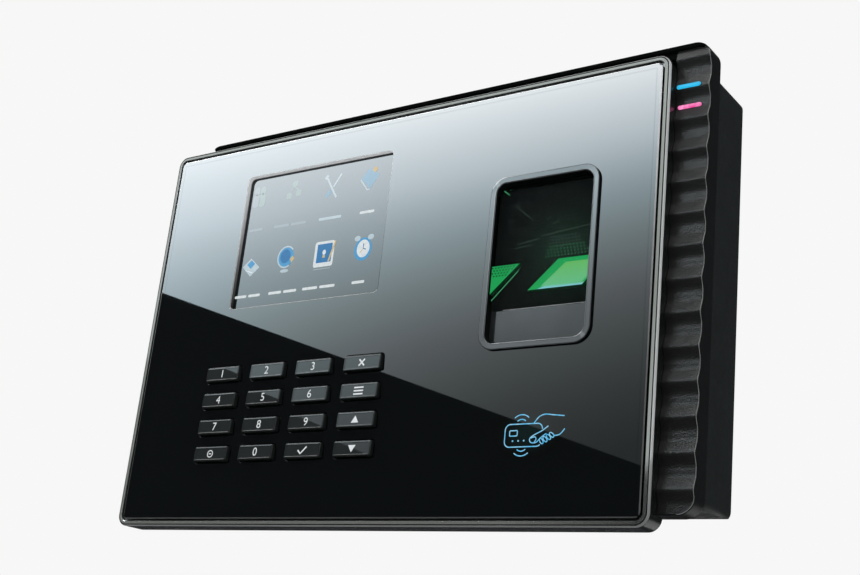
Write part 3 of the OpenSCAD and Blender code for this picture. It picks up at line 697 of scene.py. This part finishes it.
def make_status_bars():
    """The two lit bars, with rounded fronts."""
    for node, material in (("status_bar_blue", BLUE_BAR), ("status_bar_pink", PINK_BAR)):
        bar = Span(node)
        shape = Shape()
        profile = [(0, bar.y1, 0), (0, bar.y0 + 0.3, 0), (0.08, bar.y0 + 0.12, 0), (0.25, bar.y0 + 0.02, 0),
                   (0.5, bar.y0, 0)]
        shape.band(bar.place(), 0.62, profile, capped=True, steps=5)
        tint = node.split("_")[-1]
        shape.build("light_pipe_" + tint, "terminal", [material], [node])


# ---- Keys ----

FIGURE_HEIGHT = 2.9
KEY_TILTS = [math.radians(t) for t in (2.5, 2.9, 3.3, 3.7)]  # how far each column of keys leans back


def key_legend(name):
    """White drawing on a key: a number, an arrow or a plain sign."""
    if name.isdigit():
        return text_mesh(name, FIGURE_HEIGHT)
    if name in ("up", "down"):
        way = 1 if name == "up" else -1
        return plate_mesh([[(-1.5, -1.1 * way), (1.5, -1.1 * way), (0, 1.3 * way)][::way]], 0.06, 0.01)
    signs = {
        "esc": [([(-1.1, -1.1), (1.1, 1.1)], False), ([(-1.1, 1.1), (1.1, -1.1)], False)],
        "menu": [([(-1.9, h), (1.9, h)], False) for h in (-1.1, 0, 1.1)],
        "ok": [([(-1.7, 0.1), (-0.5, -1.1), (1.8, 1.2)], False)],
        "power": [(arc(0, 0, 1.15, 1.15, 0, 345, 23), True), ([(-0.55, 0), (0.55, 0)], False)],
    }
    width = {"power": 0.34, "menu": 0.5}.get(name, 0.55)
    return stroke_mesh(signs[name], width)


def make_keys():
    """Keys with a shallow dished face, a lip behind the panel and a stem over the switch."""
    bevel, rim, sink = 0.35, 0.62, 0.06
    for number, name in enumerate(KEY_NAMES):
        span = Span("key_" + name)
        place = key_spot(name)
        cx, cz, w, h = place
        front = span.y0
        tilt = KEY_TILTS[number % 4]

        def face(depth):
            return lambda x, z: front + depth + (z - cz + h / 2) * math.tan(tilt)

        shape = Shape()
        # Finish 2 is the painted shade on the bevel, sides, lip and stem.
        profile = [(0, FACE + 1.65, 2), (0, face(bevel + 0.05), 2), (0.06, face(0.2), 2),
                   (0.16, face(0.07), 2), (bevel, face(0), 0), (rim, face(0), 2),
                   (rim + 0.1, face(sink), 0), (rim + 0.14, face(sink), 0)]
        shape.band(place, KEY_R, profile, capped=True, steps=5)
        lip = [(-1, FACE + 2.5, 2), (-1, FACE + 1.7, 2), (0, FACE + 1.65, 2)]
        shape.band(place, KEY_R, lip, capped=True, steps=5)
        stem = [(0, FACE + 4.5, 2), (0, FACE + 2.4, 2)]
        shape.band((cx, cz, 3, 3), 0.3, stem, capped=True, steps=3)
        middle = front + sink + h / 2 * math.tan(tilt)
        shape.add_mesh(key_legend(name), upright(middle - 0.02, cx, cz, tilt, 0.05), 1)
        materials = [KEY_PLASTIC, KEY_INK_GLOW, KEY_SIDE_SHADE]
        shape.build("button_" + name, "key_" + name, materials, ["key_" + name], angle=20)


# ---- Finger sensor ----

def make_ring():
    """The ring round the finger well. Its left inner wall is short beside the opening, to show the light."""
    d = FACE
    open_low, open_high = RING.cz - 13.6, RING.cz + 23.3

    def inner_foot(x, z):
        return d + (0.3 if x < RING.cx and open_low < z < open_high else 2.1)

    # Finish 1 is the painted shade on the ring's walls.
    profile = [(0.75, d + 2.1, 1), (0.75, d + 0.02, 1), (0, d + 0.02, 1), (0, d - 0.75, 1),
               (0.05, d - 0.88, 0), (0.15, d - 0.96, 0), (0.3, d - 1.0, 0), (0.34, d - 1.0, 0),
               (1.6, d - 0.97, 0), (1.64, d - 0.97, 0),
               (1.74, d - 1.0, 0), (1.92, d - 0.97, 0), (2.06, d - 0.86, 0), (2.13, d - 0.7, 1),
               (2.15, d - 0.5, 1), (2.15, inner_foot, 1)]
    shape = Shape()
    shape.band(RING.place(), RING_R, profile, closed=True, along=60, steps=14)
    shape.build("sensor_ring", "terminal", [RING_FACE, WELL_SHADE], ["sensor_bezel"], angle=30)


def make_tray():
    """The plate under the platen's window, and the hidden frame that holds it."""
    tray, platen = Span("sensor_tray"), Span("sensor_platen")
    front, flange = tray.y0, tray.y1 - 1.6
    window = (platen.cx, platen.cz, platen.w - 0.7, platen.h - 0.7)
    outer = (tray.cx, tray.cz, tray.w - 3, tray.h - 3)
    shape = Shape()
    plate = plate_mesh([outline(*outer, 3), outline(*window, 3)], platen.y1 - front, 0.2)
    shape.add_mesh(plate, upright((front + platen.y1) / 2))
    back = [outline(*outer, 3, -1.5), outline(*window, 3, 0.6)]
    shape.add_mesh(plate_mesh(back, tray.y1 - flange, 0.2), upright((flange + tray.y1) / 2))
    # Faces behind the plate's front or outside the platen's window get the painted shade.
    for number, face in enumerate(shape.faces):
        xs, ys, _ = shape.corners(face)
        in_window = platen.x0 - 0.5 < sum(xs) / len(xs) < platen.x1 + 0.5
        if max(ys) > front + 0.25 or not in_window:
            shape.finishes[number] = 1
    sill = platen.z0 + 0.35
    left, right = RING.cx - 13, RING.cx + 17.15
    # A thin strip in the light frosted tone along the sill: a painted highlight line.
    edge_line = [(left, sill - 0.02), (right, sill - 0.02), (right, sill + 0.16), (left, sill + 0.16)]
    shape.flat(edge_line, front - 0.01, 2)
    shape.build("finger_tray", "terminal", [TRAY, WELL_SHADE, FROSTED_EDGE_HIGHLIGHT], ["sensor_tray"])


def make_glow():
    """The two lit strips under the platen, cut on a slant, and what shines beside them."""
    guide = Span("sensor_light_guide")
    low, high = guide.z0, guide.z1
    deep, front = guide.y1, guide.y0
    slant = 1.1 * (high - low)
    left_foot, right_foot = TRIM.cx + 43.2, TRIM.cx + 57
    corner, line_y = 2.8, front - 0.1
    rim = srgb("#22a95a")
    leaf, mint, ice = srgb("#6cc36a"), srgb("#6cc88f"), srgb("#8fd6f0")
    shape = Shape()
    left = [(guide.x0, low), (left_foot, low), (left_foot + slant, high), (guide.x0, high)]
    cut = guide.x1 - corner
    right = [(right_foot, low), (cut, low), (guide.x1, low + corner), (guide.x1, high),
             (right_foot + slant, high)]
    shape.prism(left, front + 0.05, deep, 1)
    shape.prism(right, front + 0.05, deep, 1)
    shape.flat(left, front, 0, [rim] * 4)
    shape.flat(right, front, 0, [rim] * 5)
    inner = [(right_foot + 4.6, low + 0.9), (cut, low + 0.9), (guide.x1, low + corner + 0.9),
             (guide.x1, high - 1.4), (right_foot + slant + 2.6, high - 1.4)]
    shape.flat(inner, front - 0.02, 0, [mint, mint, mint, leaf, leaf])
    foot = [(right_foot + 3.4, low), (cut, low), (cut + 0.8, low + 0.8), (right_foot + 6.0, low + 1.0)]
    shape.flat(foot, front - 0.04, 0, [ice, ice, mint, mint])
    for row in range(4):
        for k in range(8 - row):
            spot = on_front([(43.6 + 1.1 * k + 0.55 * (row % 2), 10.5 - 0.9 * row)])[0]
            shape.flat(arc(*spot, 0.3, 0.3, 0, 300, 5), front - 0.02, 1)
    columns, rows = 12, 16
    x0, x1 = guide.x0, guide.x1
    z0, z1 = Span("sensor_platen").z0 + 0.5, Span("sensor_platen").z1 - 0.5
    heart = Vector((TRIM.cx + 68, TRIM.cz + 14))
    shades = []
    for i in range(rows + 1):
        for k in range(columns + 1):
            spot = Vector((x0 + (x1 - x0) * k / columns, z0 + (z1 - z0) * i / rows))
            near = math.exp(-((spot - heart).length / 12) ** 2)
            shades.append((spot, [0.0022 + 0.0045 * near, 0.003 + 0.0165 * near, 0.003 + 0.009 * near]))
    for numbers in sheet_faces(columns, rows):
        spots, colors = zip(*(shades[n] for n in numbers))
        shape.flat([tuple(spot) for spot in spots], deep - 0.02, 0, colors)
    for row in range(7):
        for k in range(14 - row):
            spot = on_front([(62.5 + 1.15 * k + 0.6 * (row % 2) + 0.3 * row, 12.2 + 1.05 * row)])[0]
            if spot[0] < x1 - 0.4:
                shape.flat(arc(*spot, 0.25, 0.25, 0, 300, 5), front - 0.02, 4 if row < 4 else 3)
    dashes = [(45.0, 36.9), (47.6, 34.9)], [(46.9, 37.3), (47.9, 36.6)]
    shape.draw([(on_front([(44.1, -0.3), (53.2, 8.7)]), False)], 0.28, line_y, 0.2, 2)
    shape.draw([(on_front(ends), False) for ends in dashes], 0.24, line_y, 0.2, 2)
    marks = [((52, 17.4), (60, 18.6)), ((60.5, 19.3), (79, 21.2)), ((51, 16.2), (57, 16.8)),
             ((64, 22.8), (66.5, 23.6)), ((50, 31), (57, 25)), ((62, 24.6), (63.4, 25.4))]
    shape.draw([(on_front(ends), False) for ends in marks], 0.2, line_y + 0.04, 0.2, 3)
    tones = (("deep_green", "#082a16"), ("green_line", "#4fb57c"),
             ("dim_green", "#2d4639"), ("mid_green", "#2a7a4c"))
    materials = [GREEN_GLOW, *(lit(name, srgb(code)) for name, code in tones)]
    shape.build("sensor_glow", "terminal", materials, ["sensor_light_guide"], weighted=False)


# ---- Display ----

ICON_Y = LCD.y0 - 0.012  # the pictures lie just in front of the glass
ICON_LAYER = 0.004  # from one layer of a picture to the next
CAPTION_GAP = 0.9


class Icon:
    """Draws one picture of the display, in flat layers round its centre."""

    def __init__(self, shape, cx, cz):
        self.shape, self.centre = shape, (cx, cz)

    def poly(self, level, finish, points):
        self.shape.flat(on_front(points, *self.centre), ICON_Y - ICON_LAYER * level, finish)

    def disc(self, level, finish, x, z, rx, rz):
        self.poly(level, finish, arc(x, z, rx, rz, 0, 345, 23))

    def lines(self, level, finish, width, *paths):
        placed = [(on_front(path, *self.centre), False) for path in paths]
        self.shape.draw(placed, width, ICON_Y - ICON_LAYER * level, 0.02, finish)


def make_display():
    """Menu pictures on the display. Plain bars stand for the captions."""
    shape = Shape()
    white, blue, pale, deep, gold, faint, faint_blue, faint_green = range(8)

    # The top row uses the faint tints: painted shade, the display darker towards its top.
    people = Icon(shape, -59.1, 49.3)
    for x, tint in ((-1.7, faint), (1.2, faint_green)):
        people.disc(0, tint, x, 2.3, 1.3, 1.6)
        people.poly(0, tint, box_points(x, -1.6, 3.0, 5.2, 1.3))

    network = Icon(shape, -42.7, 49.2)
    for x, z in ((0, 2.6), (-2.2, -1.8), (2.2, -1.2)):
        network.poly(0, faint_green, box_points(x, z, 2.4, 2.2, 0.4))
    network.lines(1, faint_green, 0.35, [(0, 1.4), (-2.2, -0.6)], [(0, 1.4), (2.2, -0.2)])

    tools = Icon(shape, -24.6, 48.2)
    tools.lines(1, pale, 0.75, [(-3.4, 3.8), (1.9, -4.6)], [(3.2, 4.2), (0.2, -0.4)])
    tools.poly(2, pale, [(-3.4, 2.8), (-2.4, 4.2), (-3.4, 4.8), (-4.4, 3.6)])
    tools.poly(2, faint_blue, [(-2.4, -4.4), (-0.4, -2.2), (-1.2, -1.2), (-3.4, -3.0)])

    book = Icon(shape, -8.2, 48.3)
    book.poly(1, faint_blue, [(0.2, -3.6), (3.8, 1.2), (-0.8, 4.2), (-4.2, 0.6)])
    book.lines(2, pale, 0.5, [(-4.2, 0.2), (-0.9, -4.0), (0.2, -3.8)])
    book.poly(3, gold, [(1.8, 2.2), (2.8, 3.6), (1.6, 4.6), (0.4, 3.4)])

    key_box = Icon(shape, -58.2, 21.9)
    key_box.poly(1, pale, [(0.0, -3.8), (3.9, -0.6), (-0.6, 3.2), (-4.2, 0.2)])
    key_box.poly(2, blue, [(-0.3, -0.8), (1.6, 0.9), (-0.3, 2.5), (-2.2, 0.9)])
    key_box.lines(3, white, 0.3, [(-2.6, -1.2), (1.2, -2.6)])

    globe = Icon(shape, -42.2, 22.9)
    globe.disc(1, blue, 0, 0.8, 3.5, 3.7)
    globe.disc(2, deep, -0.3, 1.1, 2.4, 2.6)
    globe.lines(3, pale, 0.55, arc(0, 0.8, 3.7, 3.9, 40, 300, 20))
    globe.disc(2, pale, 0, -4.4, 1.9, 0.65)
    globe.poly(4, gold, [(2.8, -1.6), (4.0, -0.2), (3.1, 1.0), (2.0, 0.0)])

    tablet = Icon(shape, -24.8, 22.8)
    tablet.poly(1, white, box_points(0, 0, 8.6, 9.4, 0.9))
    tablet.poly(2, deep, box_points(0.1, 0.3, 6.6, 6.9, 0.3))
    tablet.disc(3, white, 0, 0.6, 0.75, 0.95)
    tablet.poly(3, gold, box_points(0, -0.9, 1.1, 1.0, 0.2))
    tablet.lines(4, gold, 0.7, [(2.3, -3.0), (4.6, 4.4)])
    tablet.lines(2, faint, 0.5, [(-3.8, -5.6), (3.6, -5.6)])

    clock = Icon(shape, -7.8, 22.7)
    clock.disc(1, blue, 0, -0.2, 3.7, 4.2)
    clock.disc(2, white, 0.1, 0, 2.7, 3.2)
    clock.lines(3, deep, 0.4, [(0.1, 1.8), (0.1, 0), (1.3, -0.4)])
    clock.lines(4, gold, 0.3, [(-1.0, -1.4), (0.1, 0)])
    for x in (-2.8, 2.9):
        clock.disc(3, pale, x, 3.9, 1.3, 1.0)

    rows = ((36.1, ((-58.7, 6.3, faint), (-42.6, 15.0, faint), (-24.3, 10.1, pale), (-8.0, 6.3, white))),
            (10.7, ((-58.1, 12.0, white), (-41.7, 12.9, white), (-25.4, 14.4, white), (-8.2, 5.4, white))))
    for height, captions in rows:
        for middle, width, tint in captions:
            words = 2 if width > 11 else 1
            part = (width - CAPTION_GAP * (words - 1)) / words
            for k in range(words):
                centre = middle - width / 2 + part / 2 + k * (part + CAPTION_GAP)
                shape.flat(box_points(TRIM.cx + centre, TRIM.cz + height, part, 1.0, 0.45), ICON_Y, tint)

    # The faint tints are dimmed copies of the lit colours: painted shade for the display's top row.
    tints = {"white": ("#e4eaec", 0.85, 0.1), "blue": ("#3d94c8", 0.95, 0.1), "pale": ("#cfe0e8", 0.5, 0.3),
             "deep": ("#1f72ac", 0.95, 0.08), "gold": ("#e2c070", 0.7, 0.15),
             "faint": ("#d8e4ea", 0.10, 0.42), "faint_blue": ("#5fa9d0", 0.45, 0.3),
             "faint_green": ("#9cc8a8", 0.14, 0.42)}
    materials = [lit("display_" + name, srgb(code), strength, size=0.8, rough=0.05, specular=gloss)
                 for name, (code, strength, gloss) in tints.items()]
    shape.build("display_icons", "terminal", materials, weighted=False)


# ---- Card symbol ----

def make_card_symbol():
    """A card held by a hand, drawn in lit lines behind the panel."""
    card = outline(62.3, -44.7, 12.6, 6.8, 1.7, 0, 6)
    card_open = [p for p in card if not (p[0] > 66.4 and -47.4 < p[1] < -43.4)]
    card_open.sort(key=lambda p: math.atan2(p[1] + 44.7, p[0] - 62.3) % math.tau)
    hand = [(card_open, False),
            (smooth_line([(65.6, -41.2), (67.2, -39.4), (69.2, -38.7), (72.0, -39.0), (75.6, -39.4)]), False),
            (smooth_line([(70.5, -42.2), (68.4, -43.6), (66.2, -44.6), (64.6, -45.7), (65.0, -46.9),
                          (66.8, -46.9), (68.2, -45.6), (70.0, -44.4)]), False),
            (smooth_line([(64.9, -45.6), (66.2, -45.3), (66.7, -46.0), (66.2, -46.8)]), False),
            (smooth_line([(76.0, -43.2), (74.6, -44.7), (73.2, -45.1), (72.3, -44.9)]), False)]
    for x, z, lean in ((68.5, -46.6, 35), (69.7, -46.1, 40), (70.8, -45.5, 45), (71.8, -44.9, 50)):
        turn = Matrix.Rotation(math.radians(lean), 2)
        angles = [math.tau * i / 14 for i in range(14)]
        tip = [Vector((x, z)) + turn @ Vector((0.5 * math.cos(a), 0.95 * math.sin(a))) for a in angles]
        hand.append((tip, True))
    waves = [(arc(61.4, -42.2, 3.6, 3.7, 48, 132), False), (arc(61.4, -42.2, 2.2, 2.3, 50, 130), False),
             (arc(61.9, -47.0, 2.2, 2.4, -130, -50), False), (arc(61.9, -47.0, 3.7, 3.8, -130, -50), False)]
    chip = [(box_points(58.9, -44.0, 2.6, 1.6, 0.3), True)]
    dots = [(arc(x, -46.3, 0.12, 0.12, 0, 315, 7), True) for x in (58.8, 60.7, 62.6)]
    lines = [(on_front(points), closed) for points, closed in (*hand, *waves, *chip, *dots)]
    shape = Shape()
    shape.draw(lines, 0.33, FACE - 0.015, 0.03)
    reach = [(TRIM.cx + 63.5, TRIM.cz - 44, 12 * t, 8 * t) for t in (0.02, 0.25, 0.5, 0.75, 1)]
    teal = (0.0035, 0.011, 0.0105)
    for k, (near, far) in enumerate(zip(reach, reach[1:])):
        inner, outer = arc(*near, 0, 360, 32), arc(*far, 0, 360, 32)
        strong, weak = ([c * math.cos(math.pi / 2 * t) ** 2 for c in teal] for t in (k / 4, (k + 1) / 4))
        for i in range(32):
            corners = [inner[i + 1], inner[i], outer[i], outer[i + 1]]
            shape.flat(corners, FACE - 0.006, 1, [strong, strong, weak, weak])
    shape.build("card_symbol", "terminal", [CYAN_LINE, HALO], weighted=False)


# ---- CAD pieces that keep their shape ----

def dress(node, material, soften):
    """Gives a CAD piece its material, and rounds its sharp edges a little."""
    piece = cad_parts[node]
    piece.data.materials.clear()
    piece.data.materials.append(material)
    if soften:
        join = piece.modifiers.new("join", "WELD")
        join.merge_threshold = 0.001 * MM
        round_off = piece.modifiers.new("soften", "BEVEL")
        round_off.width = soften * MM
        round_off.segments = 2
        round_off.limit_method = "ANGLE"
        round_off.angle_limit = math.radians(40)
        round_off.harden_normals = True
        round_off.miter_outer = "MITER_ARC"


DRESSING = (  # material, width of the rounded edges, CAD nodes
    (POWDER, 0.3, "wall_bracket"),
    (REAR_PLASTIC, 0.35, "rear_housing"),
    (CHASSIS, 0.15, "front_chassis"),
    (DISPLAY, 0.05, "lcd_panel"),
    (BACKLIGHT, 0.1, "lcd_backlight"),
    (FILM, 0, "lcd_ribbon sensor_cable"),
    (BOARD, 0.05, "keypad_board sensor_led_board card_antenna_board status_board"),
    (BOARD, 0.1, "main_board"),
    (SWITCH, 0.1, "tact_switches"),
    (PLATEN, 0.1, "sensor_platen"),
    (PRISM, 0.1, "sensor_prism"),
    (INNER_BLACK, 0.1, "sensor_camera board_chips tamper_switch"),
    (INNER_BLACK, 0.15, "cell_holder"),
    (INNER_BLACK, 0.2, "sensor_housing speaker"),
    (COPPER, 0, "card_antenna_coil"),
    (STEEL, 0.08, "usb_port"),
    (STEEL, 0.1, "lcd_frame"),
    (STEEL, 0.15, "network_jack"),
    (TERMINAL_GREEN, 0.15, "terminal_blocks"),
    (SCREW, 0.1, "security_screw case_screws board_screws"),
    (SCREW, 0.2, "coin_cell"),
    (WHITE_PART, 0.2, "tamper_plunger"),
    (RUBBER, 0.2, "usb_cover"),
)


# ---- Studio ----

CAMERA_AT = Vector((0.25046, -0.35893, -0.12922))
CAMERA_TURN = 36.387  # degrees to the left of straight at the wall
CAMERA_RISE = 18.21  # degrees upwards
CAMERA_ROLL = 6.08
LENS = 55.434  # focal length on a sensor 36 mm wide
BACKDROP = srgb("#f7f7f7")
FLOOR_Z = -0.32  # in metres, well below the terminal


def make_camera():
    data = bpy.data.cameras.new("photo_camera")
    data.lens = LENS
    data.sensor_width = 36
    data.clip_start = 0.01
    camera = add_object("photo_camera", data)
    place = Matrix.Translation(CAMERA_AT)
    for angle, axis in ((CAMERA_TURN, "Z"), (90 + CAMERA_RISE, "X"), (CAMERA_ROLL, "Z")):
        place = place @ Matrix.Rotation(math.radians(angle), 4, axis)
    camera.matrix_world = place
    bpy.context.scene.camera = camera


def area_light(name, place, target, size, power, seen=True):
    data = bpy.data.lights.new(name, "AREA")
    data.shape = "RECTANGLE"
    data.size, data.size_y = size
    data.energy = power
    lamp = add_object(name, data)
    lamp.location = place
    lamp.rotation_mode = "QUATERNION"
    lamp.rotation_quaternion = (Vector(target) - Vector(place)).to_track_quat("-Z", "Y")
    lamp.visible_glossy = seen


CARD_Y = -635.5  # how far in front the softbox card stands, in millimetres
CARD_STOPS = ((-85, (0.45, 0.50, 0.50)), (-60, (0.77, 0.86, 0.86)), (-40, (1.22, 1.40, 1.41)),
              (-20, (2.0, 2.2, 2.35)), (0, (3.2, 3.9, 4.05)), (20, (5.2, 6.5, 7.05)), (42, (9.6, 11.0, 11.8)),
              (72, (16.2, 17.3, 17.9)))


def card_color(level):
    """Brightness of the card, from its dim lower end to its bright top."""
    level = min(max(level, CARD_STOPS[0][0]), CARD_STOPS[-1][0])
    for (low, a), (high, b) in zip(CARD_STOPS, CARD_STOPS[1:]):
        if level <= high:
            t = (level - low) / (high - low)
            return [math.exp(math.log(p) * (1 - t) + math.log(q) * t) for p, q in zip(a, b)]


def on_card(x, z):
    """The point in front that the camera sees mirrored at (x, z) from the panel's centre."""
    eye = Vector((CAMERA_AT.x / MM, 2 * FACE - CAMERA_AT.y / MM, CAMERA_AT.z / MM))
    reach = (CARD_Y - eye.y) / (FACE - eye.y)
    return eye + (Vector((x + TRIM.cx, FACE, z + TRIM.cz)) - eye) * reach


def paint_card(mesh, colors):
    """Gives a card its light, and puts it in the studio, where only mirrored rays meet it."""
    paint_glow(mesh, enumerate(colors))
    tree = Tree(mesh.name + "_face")
    mesh.materials.append(tree.finish(tree.add("Emission", {"Color": tree.painted()})))
    card = add_object(mesh.name, mesh)
    card.visible_camera = False
    card.visible_diffuse = False
    card.visible_shadow = False
    card.visible_transmission = False


def make_card():
    """A softbox with a slanted lower edge and a graded face, placed where the panel mirrors it."""
    columns, rows = 40, 28
    left, right, top = -113, 115, 86  # all as seen on the panel, from its centre
    foot_left, foot_z, edge_slope = -103.5, 16.9, -0.35
    points, colors = [], []
    for i in range(rows + 1):
        for k in range(columns + 1):
            x = left + (right - left) * k / columns
            foot = foot_z + edge_slope * (x - foot_left)
            z = foot + (top - foot) * i / rows
            lean = 0.3411 * (60 - z) / 100 - 0.0391  # bands of equal tone lean more lower down
            level = z - x * lean - 0.195 * x * x / 1000
            points.append(tuple(on_card(x, z) * MM))
            colors.append(card_color(level))
    paint_card(new_mesh("softbox_card", points, sheet_faces(columns, rows)), colors)


def make_trim_card():
    """Plain softboxes round the first one, which only the slightly tilted trim mirrors."""
    silver, middle, dim = (0.66, 0.70, 0.68), (0.45, 0.47, 0.45), (0.32, 0.33, 0.31)
    low, none = (0.22, 0.22, 0.21), (0, 0, 0)
    left, right, top = -140, 132, 104
    far_left, far_right, far_top, far_bottom = -420, 300, 300, -220
    panes = [((far_left, left, 17, far_top), (silver,) * 4),  # x from and to, z from and to, tones
             ((far_left, left, far_bottom, 17), (dim,) * 4),
             ((left, right, top, far_top), (silver,) * 4),
             ((right, far_right, -58.5, -10), (silver, silver, middle, middle)),
             ((right, far_right, -10, 50), (middle, middle, silver, silver)),
             ((right, far_right, 50, far_top), (silver,) * 4),
             ((left, 60, -150, -92), (low,) * 4),
             ((60, 115, -150, -92), (low, none, none, low))]
    corners = [((x0, z0), (x1, z0), (x1, z1), (x0, z1)) for (x0, x1, z0, z1), _ in panes]
    points = [tuple(on_card(x, z) * MM) for pane in corners for x, z in pane]
    mesh = new_mesh("trim_card", points, [range(4 * i, 4 * i + 4) for i in range(len(panes))])
    paint_card(mesh, [color for _, colors in panes for color in colors])


def floor_plane(name, height, fill):
    """A level plane with one face up. fill adds its shader and returns that shader's output."""
    size, cells = 4.0, 8
    steps = [size * (2 * i / cells - 1) for i in range(cells + 1)]
    mesh = new_mesh(name, [(x, y, height) for y in steps for x in steps], sheet_faces(cells, cells))
    tree = Tree("pale_" + name)
    behind, clear = tree.add("NewGeometry", output="Backfacing"), tree.add("BsdfTransparent")
    mesh.materials.append(tree.finish(tree.add("MixShader", {0: behind, 1: fill(tree), 2: clear})))
    floor = add_object(name, mesh)
    floor.visible_glossy = False
    return floor


def make_floor():
    """A pale floor that fades into the backdrop, and an unseen one that lights the underside."""

    def glowing(tree):
        place = tree.add("TexCoord", output="Object")
        # The seen floor's glow is darker near the terminal, a painted shade, and as bright as the backdrop
        # far off.
        away = tree.between(tree.add("VectorMath", {0: place}, "Value", operation="LENGTH"), 0, 1, (0.6, 3.6))
        glow = tree.add("Emission", {"Color": tree.mix(away, (0.70, 0.70, 0.70), BACKDROP)})
        paint = tree.add("BsdfDiffuse", {"Color": tree.mix(away, (0.14, 0.14, 0.14), (0, 0, 0))})
        return tree.add("AddShader", {0: glow, 1: paint})

    def plain(tree):
        tone = tree.mix(tree.noise(tree.in_mm(), 400), (0.80, 0.80, 0.80), (0.84, 0.84, 0.84))
        return tree.add("BsdfDiffuse", {"Color": tone})

    seen = floor_plane("floor", FLOOR_Z, glowing)
    seen.visible_diffuse = False
    seen.visible_shadow = False
    unseen = floor_plane("floor_bounce", FLOOR_Z - 0.001, plain)
    unseen.visible_camera = False


def make_world():
    """Near-white to the eye, dim as a light."""
    tree = Tree("studio", bpy.data.worlds)
    seen = tree.add("Background", {"Color": (*BACKDROP, 1)})
    felt = tree.add("Background", {"Color": (0.05, 0.052, 0.055, 1)})
    ray = tree.add("LightPath", output="Is Camera Ray")
    mixed = tree.add("MixShader", {0: ray, 1: felt, 2: seen})
    bpy.context.scene.world = tree.finish(mixed, "OutputWorld")


def make_studio():
    make_camera()
    make_card()
    make_trim_card()
    make_floor()
    make_world()
    terminal, lower_corner = (0, 0, 0), (0.1, -0.03, -0.07)
    area_light("upper_left_softbox", (-0.72, -0.19, 0.8), terminal, (0.5, 0.5), 13)
    area_light("top_fill", (0.2, -0.4, 0.9), terminal, (0.9, 0.5), 4)
    area_light("right_softbox", (0.95, -0.45, 0.35), terminal, (0.4, 0.9), 5)
    area_light("left_fill", (-0.9, -0.5, 0.1), terminal, (0.6, 0.8), 3, seen=False)
    area_light("back_fill", (-0.8, 1.2, 0.4), terminal, (1.4, 1.0), 14)
    area_light("corner_kicker", (0.18, 0.42, -0.27), lower_corner, (0.26, 0.2), 0.14)
    bpy.context.scene.view_settings.view_transform = "Standard"


make_studio()
make_panel()
make_trim()
make_case()
make_surround()
make_status_bars()
make_keys()
make_ring()
make_tray()
make_glow()
make_display()
make_card_symbol()
for material, soften, nodes in DRESSING:
    for node in nodes.split():
        dress(node, material, soften)
